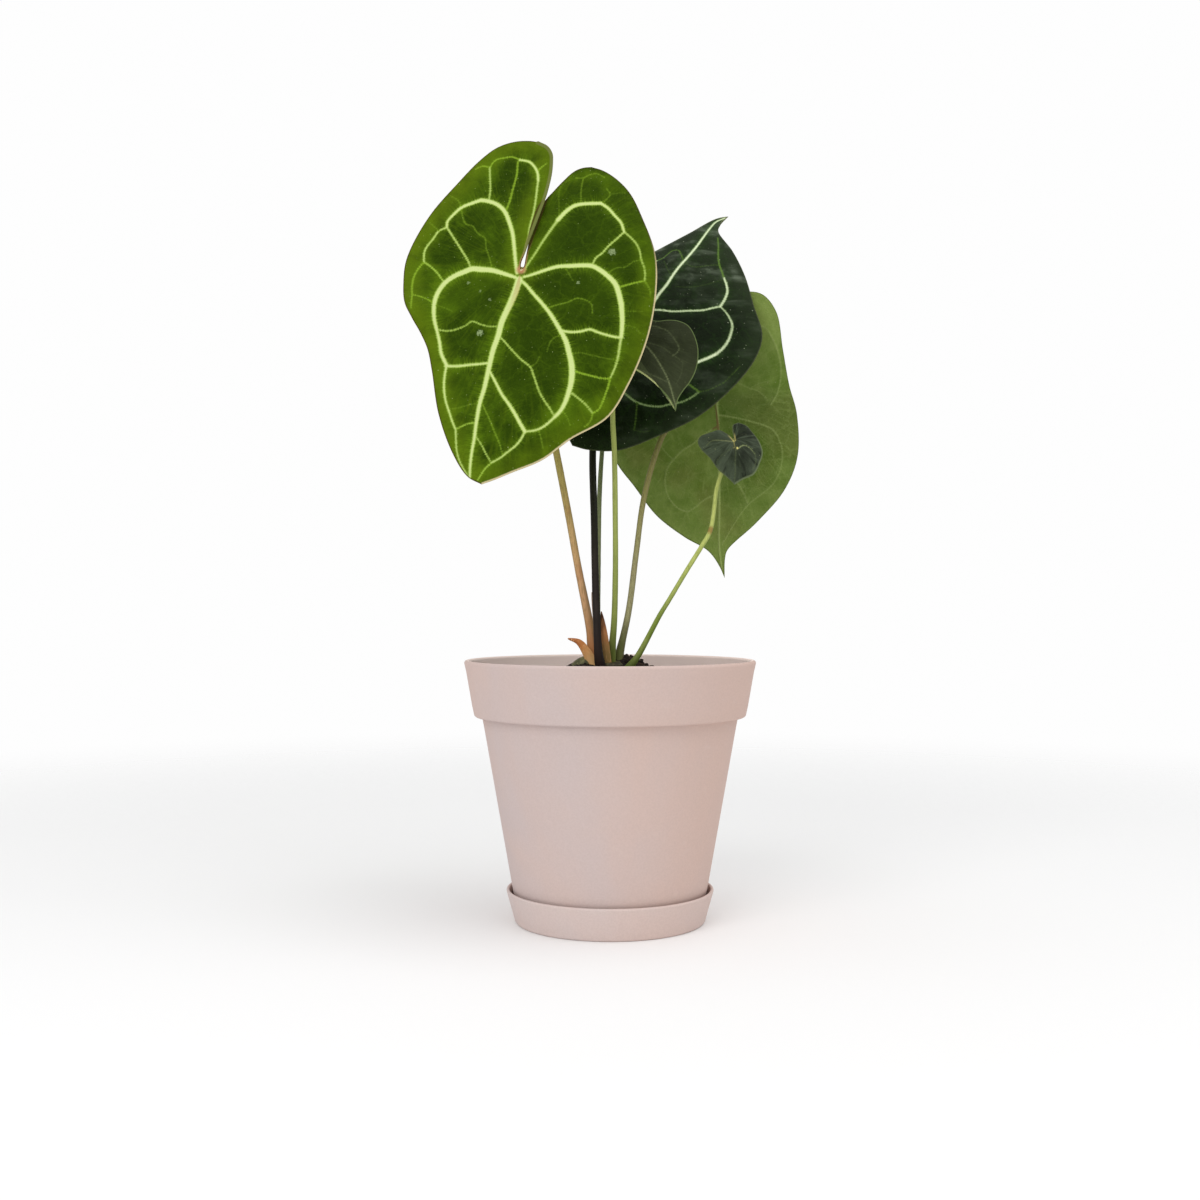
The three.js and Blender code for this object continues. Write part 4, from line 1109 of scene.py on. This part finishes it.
leaf_1_veins = [
    (4.6, 1.8, 1, [(0, 6.5), (-1, 15), (-2.5, 23), (-5.5, 36), (-6, 44.5), (-7.5, 54.5), (-8, 66),
        (-8.5, 79), (-9.5, 88), (-9.5, 101), (-9, 110.5), (-9, 118.5), (-8.5, 127), (-7.5, 135)]),
    (2.4, 3.2, 1, [(-2, 2.5), (-4, -4.5), (-6.5, -14.5), (-9, -23.5), (-12.5, -31.5), (-17, -39.5),
        (-22.5, -44), (-28.5, -46), (-33, -46.5)]),
    (3, 1.8, 1, [(-33, -46.5), (-38, -44), (-44, -40.5), (-48.5, -34.5), (-51, -29.5), (-50.5, -25.5)]),
    (1.5, 1.3, 1, [(-50.5, -25.5), (-55, -22.5), (-57.5, -16.5), (-60, -11.5), (-61, -7), (-60, 0)]),
    (1.2, 0.8, 0.7, [(-60, 0), (-62.5, 5), (-64, 11), (-63.5, 18.5), (-62, 24.5), (-60.5, 34)]),
    (1.4, 1.2, 0.95, [(-50.5, -25.5), (-43, -16), (-37.5, -9), (-33, -3), (-30.5, 1.5)]),
    (0.8, 0.6, 0.45, [(-44.5, -40.5), (-42, -33.5), (-39, -28.5), (-34.5, -27.5), (-32, -24), (-29, -21.5),
        (-25.5, -19.5), (-23.5, -12.5), (-21, -7.5), (-17.5, 0.5)]),
    (1.2, 0.6, 0.4, [(-44, -40.5), (-47, -45), (-52.5, -48.5)]),
    (1, 0.6, 0.35, [(-54.5, -22.5), (-58, -25), (-62.5, -28.5)]),
    (2.6, 4.2, 1, [(-2.5, 5.5), (-10.5, 3.5), (-17.5, 2), (-24.5, 2)]),
    (4.2, 2.4, 1, [(-24.5, 2), (-29.5, 2), (-34, 4.5), (-39, 7.5), (-44, 12.5), (-47, 19), (-48, 25.5),
        (-47.5, 32), (-46, 38.5), (-43.5, 44.5)]),
    (2.2, 2.6, 1, [(-43.5, 44.5), (-40.5, 52), (-38, 59.5), (-33.5, 66.5)]),
    (1.9, 1.4, 1, [(-33.5, 66.5), (-33.5, 73.5), (-32.5, 81), (-30, 89), (-27, 95), (-24, 101),
        (-21, 106)]),
    (1.4, 0.9, 0.95, [(-21, 106), (-19.5, 113), (-18, 119), (-15.5, 124.5), (-12.5, 129), (-8, 134.5)]),
    (2.2, 1.9, 1, [(-34, 67), (-27, 66.5), (-19.5, 65), (-13.5, 64), (-9, 63)]),
    (1.1, 0.9, 0.9, [(-43.5, 44.5), (-36, 44.5), (-30.5, 42.5), (-26, 39.5), (-23.5, 37), (-18, 38.5),
        (-13, 39.5), (-8, 39)]),
    (1, 0.9, 0.85, [(-21, 106), (-18, 104), (-14.5, 102), (-10.5, 101)]),
    (1.2, 1.1, 0.85, [(-60, 0), (-55.5, 2.5), (-50, 7), (-46, 11.5), (-43, 13)]),
    (0.8, 0.9, 0.65, [(-62, 24.5), (-57.5, 25), (-53, 26), (-48, 28)]),
    (0.7, 0.5, 0.3, [(-48, 29), (-42.5, 29.5), (-36.5, 31.5)]),
    (0.7, 0.6, 0.35, [(-27, 93.5), (-23, 93), (-16.5, 90.5), (-10, 88.5)]),
    (1, 1.5, 0.95, [(-0.5, -2.5), (0.5, -11.5), (1, -21), (0.5, -28), (1, -37.5), (1, -46.5), (0.5, -54.5),
        (0, -63)]),
    (2, 2, 1, [(0, -63), (-1.5, -69), (-4.5, -73.5), (-8, -76.5), (-14, -77.5)]),
    (1.1, 0.8, 0.75, [(-14, -77.5), (-19.5, -79.5), (-23.5, -78.5), (-28.5, -77), (-31, -73.5),
        (-31.5, -70.5)]),
    (1.1, 0.6, 0.7, [(-32, -71), (-37, -71.5), (-40.5, -69)]),
    (1.1, 1.2, 0.7, [(-15, -76), (-14, -66), (-14.5, -56.5), (-15, -46), (-16, -40)]),
    (1.3, 1.3, 0.9, [(-32, -71), (-30, -61.5), (-28.5, -54), (-28, -47)]),
    (1.2, 0.6, 0.7, [(-1.5, -70), (0.5, -73), (3, -76.5)]),
    (1.2, 2, 0.88, [(2, 1.5), (3, -3), (6, -11.5), (9, -20.5), (12.5, -29.5), (16, -38)]),
    (3, 2.8, 1, [(16, -38), (20, -45), (24, -49.5), (28, -51.5), (34.5, -53), (40, -54)]),
    (2.4, 1.9, 1, [(40, -54), (45, -51), (49.5, -46.5), (54, -42), (57, -35.5)]),
    (1.4, 1, 0.9, [(57, -35.5), (61, -32.5), (66, -27.5), (68.5, -22.5), (70, -17.5), (72, -13.5),
        (73.5, -9), (74, -3.5)]),
    (1.2, 0.6, 0.45, [(74, -3.5), (78, 2), (79, 6.5)]),
    (1.3, 1.3, 0.95, [(57, -35.5), (53, -29.5), (49, -24), (46, -18.5), (43, -15), (41.5, -9.5)]),
    (0.7, 0.7, 0.45, [(28, -52.5), (26.5, -62), (26.5, -70)]),
    (0.7, 0.7, 0.45, [(21.5, -70), (26.5, -71), (30, -74), (34, -75.5), (39, -73.5)]),
    (0.8, 0.6, 0.45, [(41, -54.5), (43, -57.5), (44.5, -61.5), (41.5, -65.5)]),
    (0.6, 0.5, 0.25, [(44.5, -61.5), (49, -63), (54, -64)]),
    (0.6, 0.5, 0.3, [(16, -42.5), (15, -49), (13.5, -58.5), (15, -64.5), (18.5, -68)]),
    (2, 3.2, 1, [(2.5, 4.5), (5, 3.5), (9.5, 1), (15.5, -2.5), (21.5, -5.5), (28.5, -7)]),
    (3.3, 3.7, 1, [(28.5, -7), (35.5, -8.5), (41.5, -9), (46.5, -7), (52, -3.5), (57, 1), (60, 7),
        (62.5, 14)]),
    (3.6, 2.8, 1, [(62.5, 14), (64, 21), (65, 27.5), (65.5, 35)]),
    (2, 1.2, 0.9, [(65.5, 35), (65.5, 42), (65.5, 48.5), (64.5, 56), (63, 62)]),
    (1.2, 0.8, 0.75, [(63, 62), (62.5, 68), (61.5, 74), (60.5, 79), (59.5, 82.5), (56.5, 85.5)]),
    (0.9, 0.6, 0.6, [(56, 85.5), (56, 89.5), (54.5, 93), (52.5, 95)]),
    (1.2, 1, 0.75, [(58.5, 3.5), (62.5, 1.5), (67.5, -1), (73.5, -3.5)]),
    (0.8, 0.6, 0.4, [(51.5, -5.5), (56.5, -10), (61, -11), (65.5, -15.5), (70, -17.5)]),
    (0.7, 0.5, 0.45, [(26, -5), (29.5, -0.5), (32, 3)]),
    (2, 1.9, 1, [(30.5, 36.5), (36, 36.5), (42, 35), (46.5, 33), (51, 34), (56.5, 35), (61.5, 35.5),
        (65.5, 35.5)]),
    (0.7, 0.6, 0.35, [(36, 51), (43.5, 49), (50.5, 49.5), (57, 50), (65, 50)]),
    (1.2, 1, 0.75, [(41.5, 61), (47, 62), (52.5, 62.5), (57.5, 63), (63, 62.5)]),
    (1.4, 1.2, 0.9, [(40.5, 74), (47, 78), (51.5, 81), (56, 85.5)]),
    (0.8, 0.6, 0.5, [(20, 23), (25.5, 20), (31, 17.5), (36, 14), (41.5, 14.5), (45, 16.5), (46.5, 22.5)]),
    (0.6, 0.4, 0.3, [(64, 18), (69.5, 17.5), (76, 16.5)]),
    (0.7, 0.5, 0.35, [(65, 28), (69.5, 27), (74, 28.5), (76.5, 31.5)]),
    (2.2, 3, 1, [(0.5, 6.5), (5.5, 10.5), (9.5, 14.5), (15.5, 20), (21, 25.5), (25.5, 31), (30, 37)]),
    (3.2, 4, 1, [(30, 37), (34, 43), (36.5, 49), (39, 55.5), (40.5, 61.5)]),
    (4, 2.4, 1, [(40.5, 61.5), (41, 68.5), (40.5, 75), (39.5, 81.5), (37.5, 87.5), (35, 91.5)]),
    (2, 1.6, 0.95, [(35, 91.5), (32.5, 95), (29, 99), (25, 101.5), (19.5, 103)]),
    (1.7, 1.3, 0.95, [(19.5, 103), (18, 108), (15.5, 112.5), (11.5, 117), (8, 121), (3.5, 124.5)]),
    (1.1, 0.8, 0.85, [(3.5, 124.5), (0.5, 128.5), (-1.5, 133), (-2.5, 135.5)]),
    (1.8, 2.6, 1, [(-8, 67), (-2, 75.5), (2.5, 82), (7.5, 87.5), (12, 93), (16, 98.5), (19.5, 103)]),
    (1.1, 1.2, 0.95, [(-6.5, 44), (0, 50), (5.5, 55), (10.5, 59), (16, 62.5), (18, 66), (21, 72),
        (24.5, 78.5), (28.5, 83.5), (32, 87.5), (35, 91.5)]),
    (0.9, 0.9, 0.9, [(-9, 108.5), (-3.5, 115), (-0.5, 119.5), (3.5, 124.5)]),
    (0.8, 0.7, 0.5, [(-8, 89), (-2.5, 97.5), (1.5, 104.5), (6, 112), (9.5, 119.5)]),
    (0.7, 0.5, 0.4, [(30.5, 39.5), (26.5, 42), (24.5, 46.5), (24, 51.5)]),
    (0.7, 0.5, 0.35, [(16, 62.5), (19, 59.5), (20, 55.5)]),
    (0.8, 0.5, 0.5, [(27, 101), (29, 105), (31.5, 111.5)]),
    (0.7, 0.5, 0.45, [(39, 87), (42, 90.5), (44.5, 95)]),
]
make_leaf("leaf_1", leaf_1, leaf_1_right, leaf_1_left, leaf_1_veins, leaf_1_finish, "leaf_bright",
          (210, 142, 104, 30), rolled=3.2)

# Leaf 2: the old dark leaf behind it, tip up and to the right. It is almost black-green, and its
# pale veins are narrower. Pale streaks of painted sheen lie over its upper face.
leaf_2_finish = leaf_finish(
    "leaf_2_skin", roughness=0.42, gloss=0.045, tip_share=0.5, lean=(-0.87, 0.49), shine=0.62,
    deep=(8, 18, 2), fresh=(20, 33, 11), edge=(36, 47, 26), thin=(98, 130, 50), vein=(166, 186, 136),
    core=(226, 236, 200), halo=(44, 78, 20), lip=(120, 124, 92), dark_lip=(70, 76, 52), below=(88, 108, 56),
    below_pale=(112, 130, 76), below_vein=(150, 160, 110), joint=(120, 110, 80), streak=(98, 108, 90))
leaf_2 = Blade((2.2, 35, 356.7), (0.49, 0.34, 0.8), (-0.16, -0.87, 0.47), 156,
               roof=(0.45, 0.2), ridge=10, curl=0.2, nod=0.06, wave=(2, 4, 0))
leaf_2_right = (
    [(0, 156), (6, 149), (14, 127), (24, 108), (38, 86), (54, 60), (63, 32), (65, 4), (61, -26), (50, -52),
     (34, -68), (20, -73)],
    [(0, 0), (2.5, -16), (4.5, -34), (8, -52), (13, -66), (20, -73)], 0.64)
leaf_2_left = (
    [(0, 156), (-1, 143), (-4, 135), (-22, 122), (-40, 105), (-58, 83), (-75, 62), (-80, 41), (-78, 16),
     (-69, -14), (-55, -37), (-37, -60), (-20, -69), (-10, -71)],
    [(0, 0), (-1.5, -16), (-2.5, -34), (-2.5, -52), (-4.5, -66), (-10, -71)], 0.62)
leaf_2_veins = [
    (2.6, 1.4, 1, [(0, 0), (-2.5, 48.5), (-2, 57.5), (-2, 68.5), (-1, 78), (-0.5, 88), (-0.5, 99), (0, 111),
        (1.5, 124), (3, 136), (3.5, 145), (0.5, 153)]),
    (1.6, 1.5, 1, [(-2, 39), (-4, 42), (-9.5, 45.5), (-16.5, 48.5), (-25, 54.5), (-33, 60.5), (-37, 65.5),
        (-40.5, 69.5)]),
    (1.7, 1.4, 1, [(-40.5, 69.5), (-40, 76), (-38, 84), (-34.5, 89.5), (-30, 94.5)]),
    (1.3, 0.7, 0.8, [(-30, 94.5), (-25.5, 99.5), (-21, 104.5), (-16, 112.5), (-11.5, 121), (-7, 128.5)]),
    (0.7, 0.6, 0.4, [(-21.5, 104), (-16, 99), (-11, 93.5), (-6.5, 91.5), (-0.5, 94)]),
    (0.6, 0.5, 0.3, [(-7.5, 69), (-13, 71.5), (-18, 75.5), (-22.5, 80.5), (-30, 92)]),
    (1, 2.2, 0.9, [(-40.5, 69.5), (-45, 67.5), (-49.5, 64.5), (-54.5, 59.5), (-57, 53), (-58.5, 46),
        (-58.5, 39), (-57, 32.5)]),
    (2.2, 2.4, 1, [(-57, 32.5), (-54, 27), (-51, 22.5), (-49, 19.5), (-42, 12.5), (-31, 6), (-18.5, 2.5),
        (-1, -1.5)]),
    (1.4, 1.2, 0.8, [(-3.5, -2), (-22, -4), (-38, -1), (-52.5, 3), (-56, 2.5), (-61, 1.5)]),
    (1.5, 1.1, 0.85, [(-7, -12.5), (-16.5, -21), (-24, -23.5), (-28, -24.5), (-33, -24.5), (-39, -23),
        (-45, -20), (-49.5, -15.5), (-55, -10.5), (-59, -4), (-61, 1.5)]),
    (0.8, 0.6, 0.4, [(-61, 1.5), (-65.5, 5.5), (-68.5, 10.5), (-71.5, 16), (-73, 24), (-74.5, 32)]),
    (0.9, 0.7, 0.5, [(-31, -25), (-34.5, -32.5), (-37, -38.5), (-38.5, -43)]),
    (0.6, 0.5, 0.3, [(-38.5, -43), (-44, -41.5), (-47.5, -38.5)]),
    (1, 0.8, 0.7, [(19, 90), (16, 93.5), (15, 98.5), (14, 102.5), (10, 104), (5.5, 100), (0.5, 94.5)]),
    (0.6, 0.5, 0.35, [(13, 90), (4.5, 81), (-1, 76.5)]),
]
leaf_2_veins += spread(leaf_2_veins[6:13], -0.82)
leaf_2_veins += [
    (1.6, 1.4, 1, [(-2, 39), (2, 42), (8, 45.5), (20, 54.5), (28, 61), (33, 69.5), (32, 78), (26, 85),
        (19, 90)]),
]
make_leaf("leaf_2", leaf_2, leaf_2_right, leaf_2_left, leaf_2_veins, leaf_2_finish, "leaf_dark",
          (200, 110, 84, 26))

# Leaf 3: the leaf at the right, turned away, so it shows its light green underside. Its midrib is
# flushed red-brown and its side ribs are faint.
# Leaf 2's shadow is painted on its underside, beside the joint.
leaf_3_finish = leaf_finish(
    "leaf_3_skin", fine_below=True,
    deep=(40, 60, 16), fresh=(56, 80, 22), edge=(72, 94, 26), vein=(150, 172, 92), core=(198, 210, 150),
    halo=(88, 116, 40), lip=(150, 158, 104), dark_lip=(90, 104, 50), below=(92, 118, 40),
    below_pale=(136, 155, 80), below_vein=(158, 174, 104), joint=(110, 84, 50))
leaf_3 = Blade((71.5, 86, 338.4), (0.07, 0.13, -0.99), (0.12, 0.96, 0.14), 126,
               roof=(0.1, 0.1), ridge=8, curl=0.05, nod=0.05, wave=(2, 5, 1))
leaf_3_right = (
    [(0, 126), (3, 118), (10, 107), (26, 96), (44, 80), (58, 59), (69, 42), (74, 22), (75, -2), (69, -30),
     (56, -52), (40, -65), (24, -68)],
    [(0, 0), (2.5, -14), (5, -30), (8, -46), (14, -60), (24, -68)], 0.6)
leaf_3_left = (
    [(0, 126), (-1, 113), (-3, 107), (-24, 89), (-44, 68), (-54, 46), (-55, 17), (-51, -2), (-48, -26),
     (-45, -51), (-37, -63), (-28, -66), (-20, -64)],
    [(0, 0), (-2.5, -14), (-4.5, -30), (-7, -46), (-11, -57), (-20, -64)], 0.6)
leaf_3_veins = [
    (1.8, 1, 1, [(-2, 3), (-1.5, 7.5), (-1.5, 22.5), (-0.5, 51.5), (1, 78.5), (2.5, 104.5), (1.5, 121.5)]),
    (1, 0.8, 0.7, [(0, 22.5), (10.5, 28), (16.5, 33), (22.5, 36), (28.5, 41), (33.5, 46.5), (36.5, 54),
        (36.5, 63), (34, 70), (29, 76), (23, 79)]),
    (1, 0.8, 0.6, [(23, 79), (18, 76.5), (11, 71.5), (3.5, 68.5)]),
    (0.6, 0.5, 0.4, [(23, 79), (22, 86)]),
    (1, 0.8, 0.7, [(-3, 14.5), (-13.5, 17), (-24.5, 20.5), (-31.5, 23), (-38, 26.5), (-41.5, 31.5)]),
    (0.8, 0.7, 0.5, [(-9.5, -10), (-18, -5.5), (-24.5, -2), (-31, 1), (-36, 6.5)]),
    (0.6, 0.5, 0.4, [(-24.5, -2), (-31.5, -5), (-38, -6)]),
    (0.9, 0.7, 0.6, [(-1, 52), (-8.5, 56.5), (-11.5, 60), (-14.5, 65), (-16.5, 69), (-19, 76.5)]),
    (0.8, 0.6, 0.5, [(-41.5, 31.5), (-44, 41), (-42, 54), (-36, 64), (-27.5, 70.5), (-19, 76.5), (-9.5, 88),
        (0.5, 103)]),
    (0.8, 0.7, 0.5, [(0, -2), (9, -9), (18, -5.5), (26, -1), (33, 4), (40, 12), (42, 24), (36, 36),
        (30, 43)]),
]
leaf_3_lobe_vein = [
    (1, 0.8, 0.6, [(1, -2), (6, -14), (14, -30), (26, -42), (36, -42), (43, -30), (46, -14), (43, 2),
        (38, 10)]),
]
leaf_3_veins += spread(leaf_3_lobe_vein, 1) + spread(leaf_3_lobe_vein, -1)
make_leaf("leaf_3", leaf_3, leaf_3_right, leaf_3_left, leaf_3_veins, leaf_3_finish, "leaf_pale",
          (180, 100, 64, 76))

# Leaves 4, 5 and 6: the young ones. Their skin is grey-green to slate, their veins are only lines,
# and leaf 6 is hidden behind the big leaves.
leaf_4_finish = leaf_finish(
    "leaf_4_skin", pale_side=-1, tip_share=0.2,
    deep=(38, 43, 25), fresh=(51, 56, 38), edge=(76, 84, 56), vein=(96, 104, 72), core=(128, 136, 94),
    halo=(64, 74, 42), lip=(206, 212, 146), dark_lip=(100, 116, 70), below=(96, 108, 72),
    below_pale=(112, 124, 84), below_vein=(136, 146, 104), joint=(120, 120, 70))
leaf_4 = Blade((4.8, -14, 362.8), (0.56, -0.18, -0.81), (-0.06, -0.97, 0.22), 62,
               roof=(0.15, 0.15), ridge=5, curl=0.05, nod=0.05, wave=(1, 3, 0))
leaf_4_right = (
    [(0, 62), (5, 57), (11, 54), (18, 51.5), (26, 46.5), (34, 37), (37.5, 28), (38, 20.5), (34.5, 14.5),
     (29, 10.5), (23, 7.5), (17, 0), (13, -12), (10, -22)],
    [(0, 0), (1.8, -8), (3.5, -15), (6, -20), (10, -22)], 0.68)
leaf_4_left = (
    [(0, 62), (1, 54), (-1, 40), (-6, 26), (-14, 15), (-21, 4), (-22, -9), (-17, -20), (-10, -23)],
    [(0, 0), (-1.8, -8), (-3.5, -15), (-6, -21), (-10, -23)], 0.62)
leaf_4_veins = [
    (1, 0.9, 1, [(0.5, 0.5), (5, 7.5), (8.5, 19), (9, 24), (9, 29), (8.5, 35), (7.5, 42), (5.5, 49),
        (3.5, 54.5), (1, 62.5)]),
    (0.6, 0.6, 0.7, [(11, 7.5), (19.5, 9.5), (22.5, 13), (25, 16.5), (25.5, 21), (25.5, 25.5), (24.5, 30),
        (22.5, 31.5), (18.5, 32)]),
    (0.6, 0.5, 0.5, [(7.5, 14), (10.5, 17), (14, 21), (16.5, 24.5), (18, 29.5), (20, 34.5), (21, 39)]),
    (0.5, 0.4, 0.35, [(21, 39), (16, 44.5), (10, 48)]),
    (0.6, 0.6, 0.7, [(0, 1), (-5, 0), (-10, 2), (-13, 6), (-11, 14), (-6, 24), (0, 34), (6, 44)]),
    (0.6, 0.5, 0.6, [(2, 0), (4, -6), (9, -13), (15, -10), (19, -4), (22, 3)]),
    (0.6, 0.5, 0.6, [(0, 0), (-4, -7), (-10, -13), (-16, -8), (-17, 0), (-13, 6)]),
]
make_leaf("leaf_4", leaf_4, leaf_4_right, leaf_4_left, leaf_4_veins, leaf_4_finish, "leaf_young",
          (110, 50, 54, 16))

# Leaf 5's folds are painted paler on their ridges and darker in their hollows: painted highlights and shade.
leaf_5_finish = leaf_finish(
    "leaf_5_skin", roughness=0.34, crease=4, marks=(((0, 0.3), 1.3, 2), ((2, 6), 1, 1.8)),
    deep=(14, 20, 8), fresh=(28, 38, 18), edge=(76, 86, 68), vein=(84, 94, 62), core=(182, 186, 130),
    halo=(48, 58, 32), lip=(96, 108, 74), dark_lip=(80, 90, 60), below=(84, 92, 60),
    below_pale=(98, 108, 72), below_vein=(120, 128, 90), joint=(206, 192, 112), mark=(214, 204, 120))
leaf_5 = Blade((76.3, -6, 296.5), (-0.03, -0.49, -0.87), (0, -0.87, 0.49), 32,
               roof=(0.3, 0.3), ridge=4, curl=0.05, nod=0.2, wave=(0.5, 3, 0))
leaf_5_right = (
    [(0, 32), (5, 28), (12, 23), (16, 14), (18, 6), (16, -2), (12, -8), (8, -13), (3, -14.5)],
    [(0, 0), (-0.4, -4), (-0.8, -8), (-0.4, -12), (3, -14.5)], 0.6)
leaf_5_left = (
    [(0, 32), (-5, 26), (-10, 20), (-15, 11), (-20, 4), (-22, -2), (-20, -6), (-14, -8)],
    [(0, 0), (-2.5, -3.5), (-5, -6), (-9, -9), (-14, -8)], 0.68)
leaf_5_veins = [
    (0.8, 0.5, 0.5, [(0, 1), (1, 7), (0.5, 15), (0.5, 22), (0, 29.5)]),
    (1.1, 0.6, 1, [(3, 5.8), (5, 3.6), (7.5, 3.2), (10.2, 4.8), (13, 8.4)]),
    (0.6, 0.4, 0.6, [(13, 8.4), (13.4, 14), (11, 20.5)]),
    (1.6, 0.8, 0.5, [(-0.5, 1.5), (-4.5, 0.5), (-8.5, -0.5), (-13.5, -1), (-17, 2.5)]),
    (0.5, 0.4, 0.5, [(0.5, 5.5), (-3, 7.5), (-7.5, 10.5), (-10.5, 14.5), (-10, 18), (-6.5, 23)]),
]
make_leaf("leaf_5", leaf_5, leaf_5_right, leaf_5_left, leaf_5_veins, leaf_5_finish, "leaf_young",
          (100, 46, 50, 16))

leaf_6_finish = leaf_finish(
    "leaf_6_skin",
    deep=(50, 70, 24), fresh=(66, 90, 32), edge=(84, 106, 42), vein=(140, 160, 88), core=(178, 192, 126),
    halo=(86, 112, 44), lip=(140, 150, 96), dark_lip=(96, 110, 60), below=(100, 118, 62),
    below_pale=(120, 138, 78), below_vein=(146, 160, 104), joint=(140, 140, 80))
leaf_6_length = 40
leaf_6 = Blade((-1, 60, 327), (-0.15, 0.3, 0.94), (0.05, -0.93, 0.3), leaf_6_length,
               roof=(0.2, 0.2), ridge=4, curl=0.1, nod=0.1, wave=(0.8, 3, 0))
leaf_6_outline = [(0, 1), (0.05, 0.9), (0.2, 0.78), (0.4, 0.56), (0.54, 0.3), (0.6, 0.02),
                  (0.55, -0.27), (0.42, -0.49), (0.26, -0.57)]
leaf_6_sinus = [(0, 0), (0.035, -0.2), (0.07, -0.38), (0.15, -0.52), (0.26, -0.57)]
leaf_6_halves = [
    (*[[(leaf_6_length * side * p, leaf_6_length * q) for p, q in line]
       for line in (leaf_6_outline, leaf_6_sinus)], 0.62) for side in (1, -1)]
leaf_6_veins = [(1.4, 0.7, 1, [(0, 1), (0, 20), (0, 37)])]
leaf_6_side_veins = [
    (0.9, 0.6, 0.9, [(0, 2), (7, 4), (14, 8), (17, 14), (14, 22), (6, 30)]),
    (0.8, 0.5, 0.9, [(1, 0), (4, -8), (10, -14), (16, -10), (18, 0), (17, 12)]),
    (0.6, 0.4, 0.7, [(0, 15), (7, 20), (13, 24)]),
]
leaf_6_veins += spread(leaf_6_side_veins, 1) + spread(leaf_6_side_veins, -1)
make_leaf("leaf_6", leaf_6, *leaf_6_halves, leaf_6_veins, leaf_6_finish, "leaf_young", (80, 40, 40, 16))
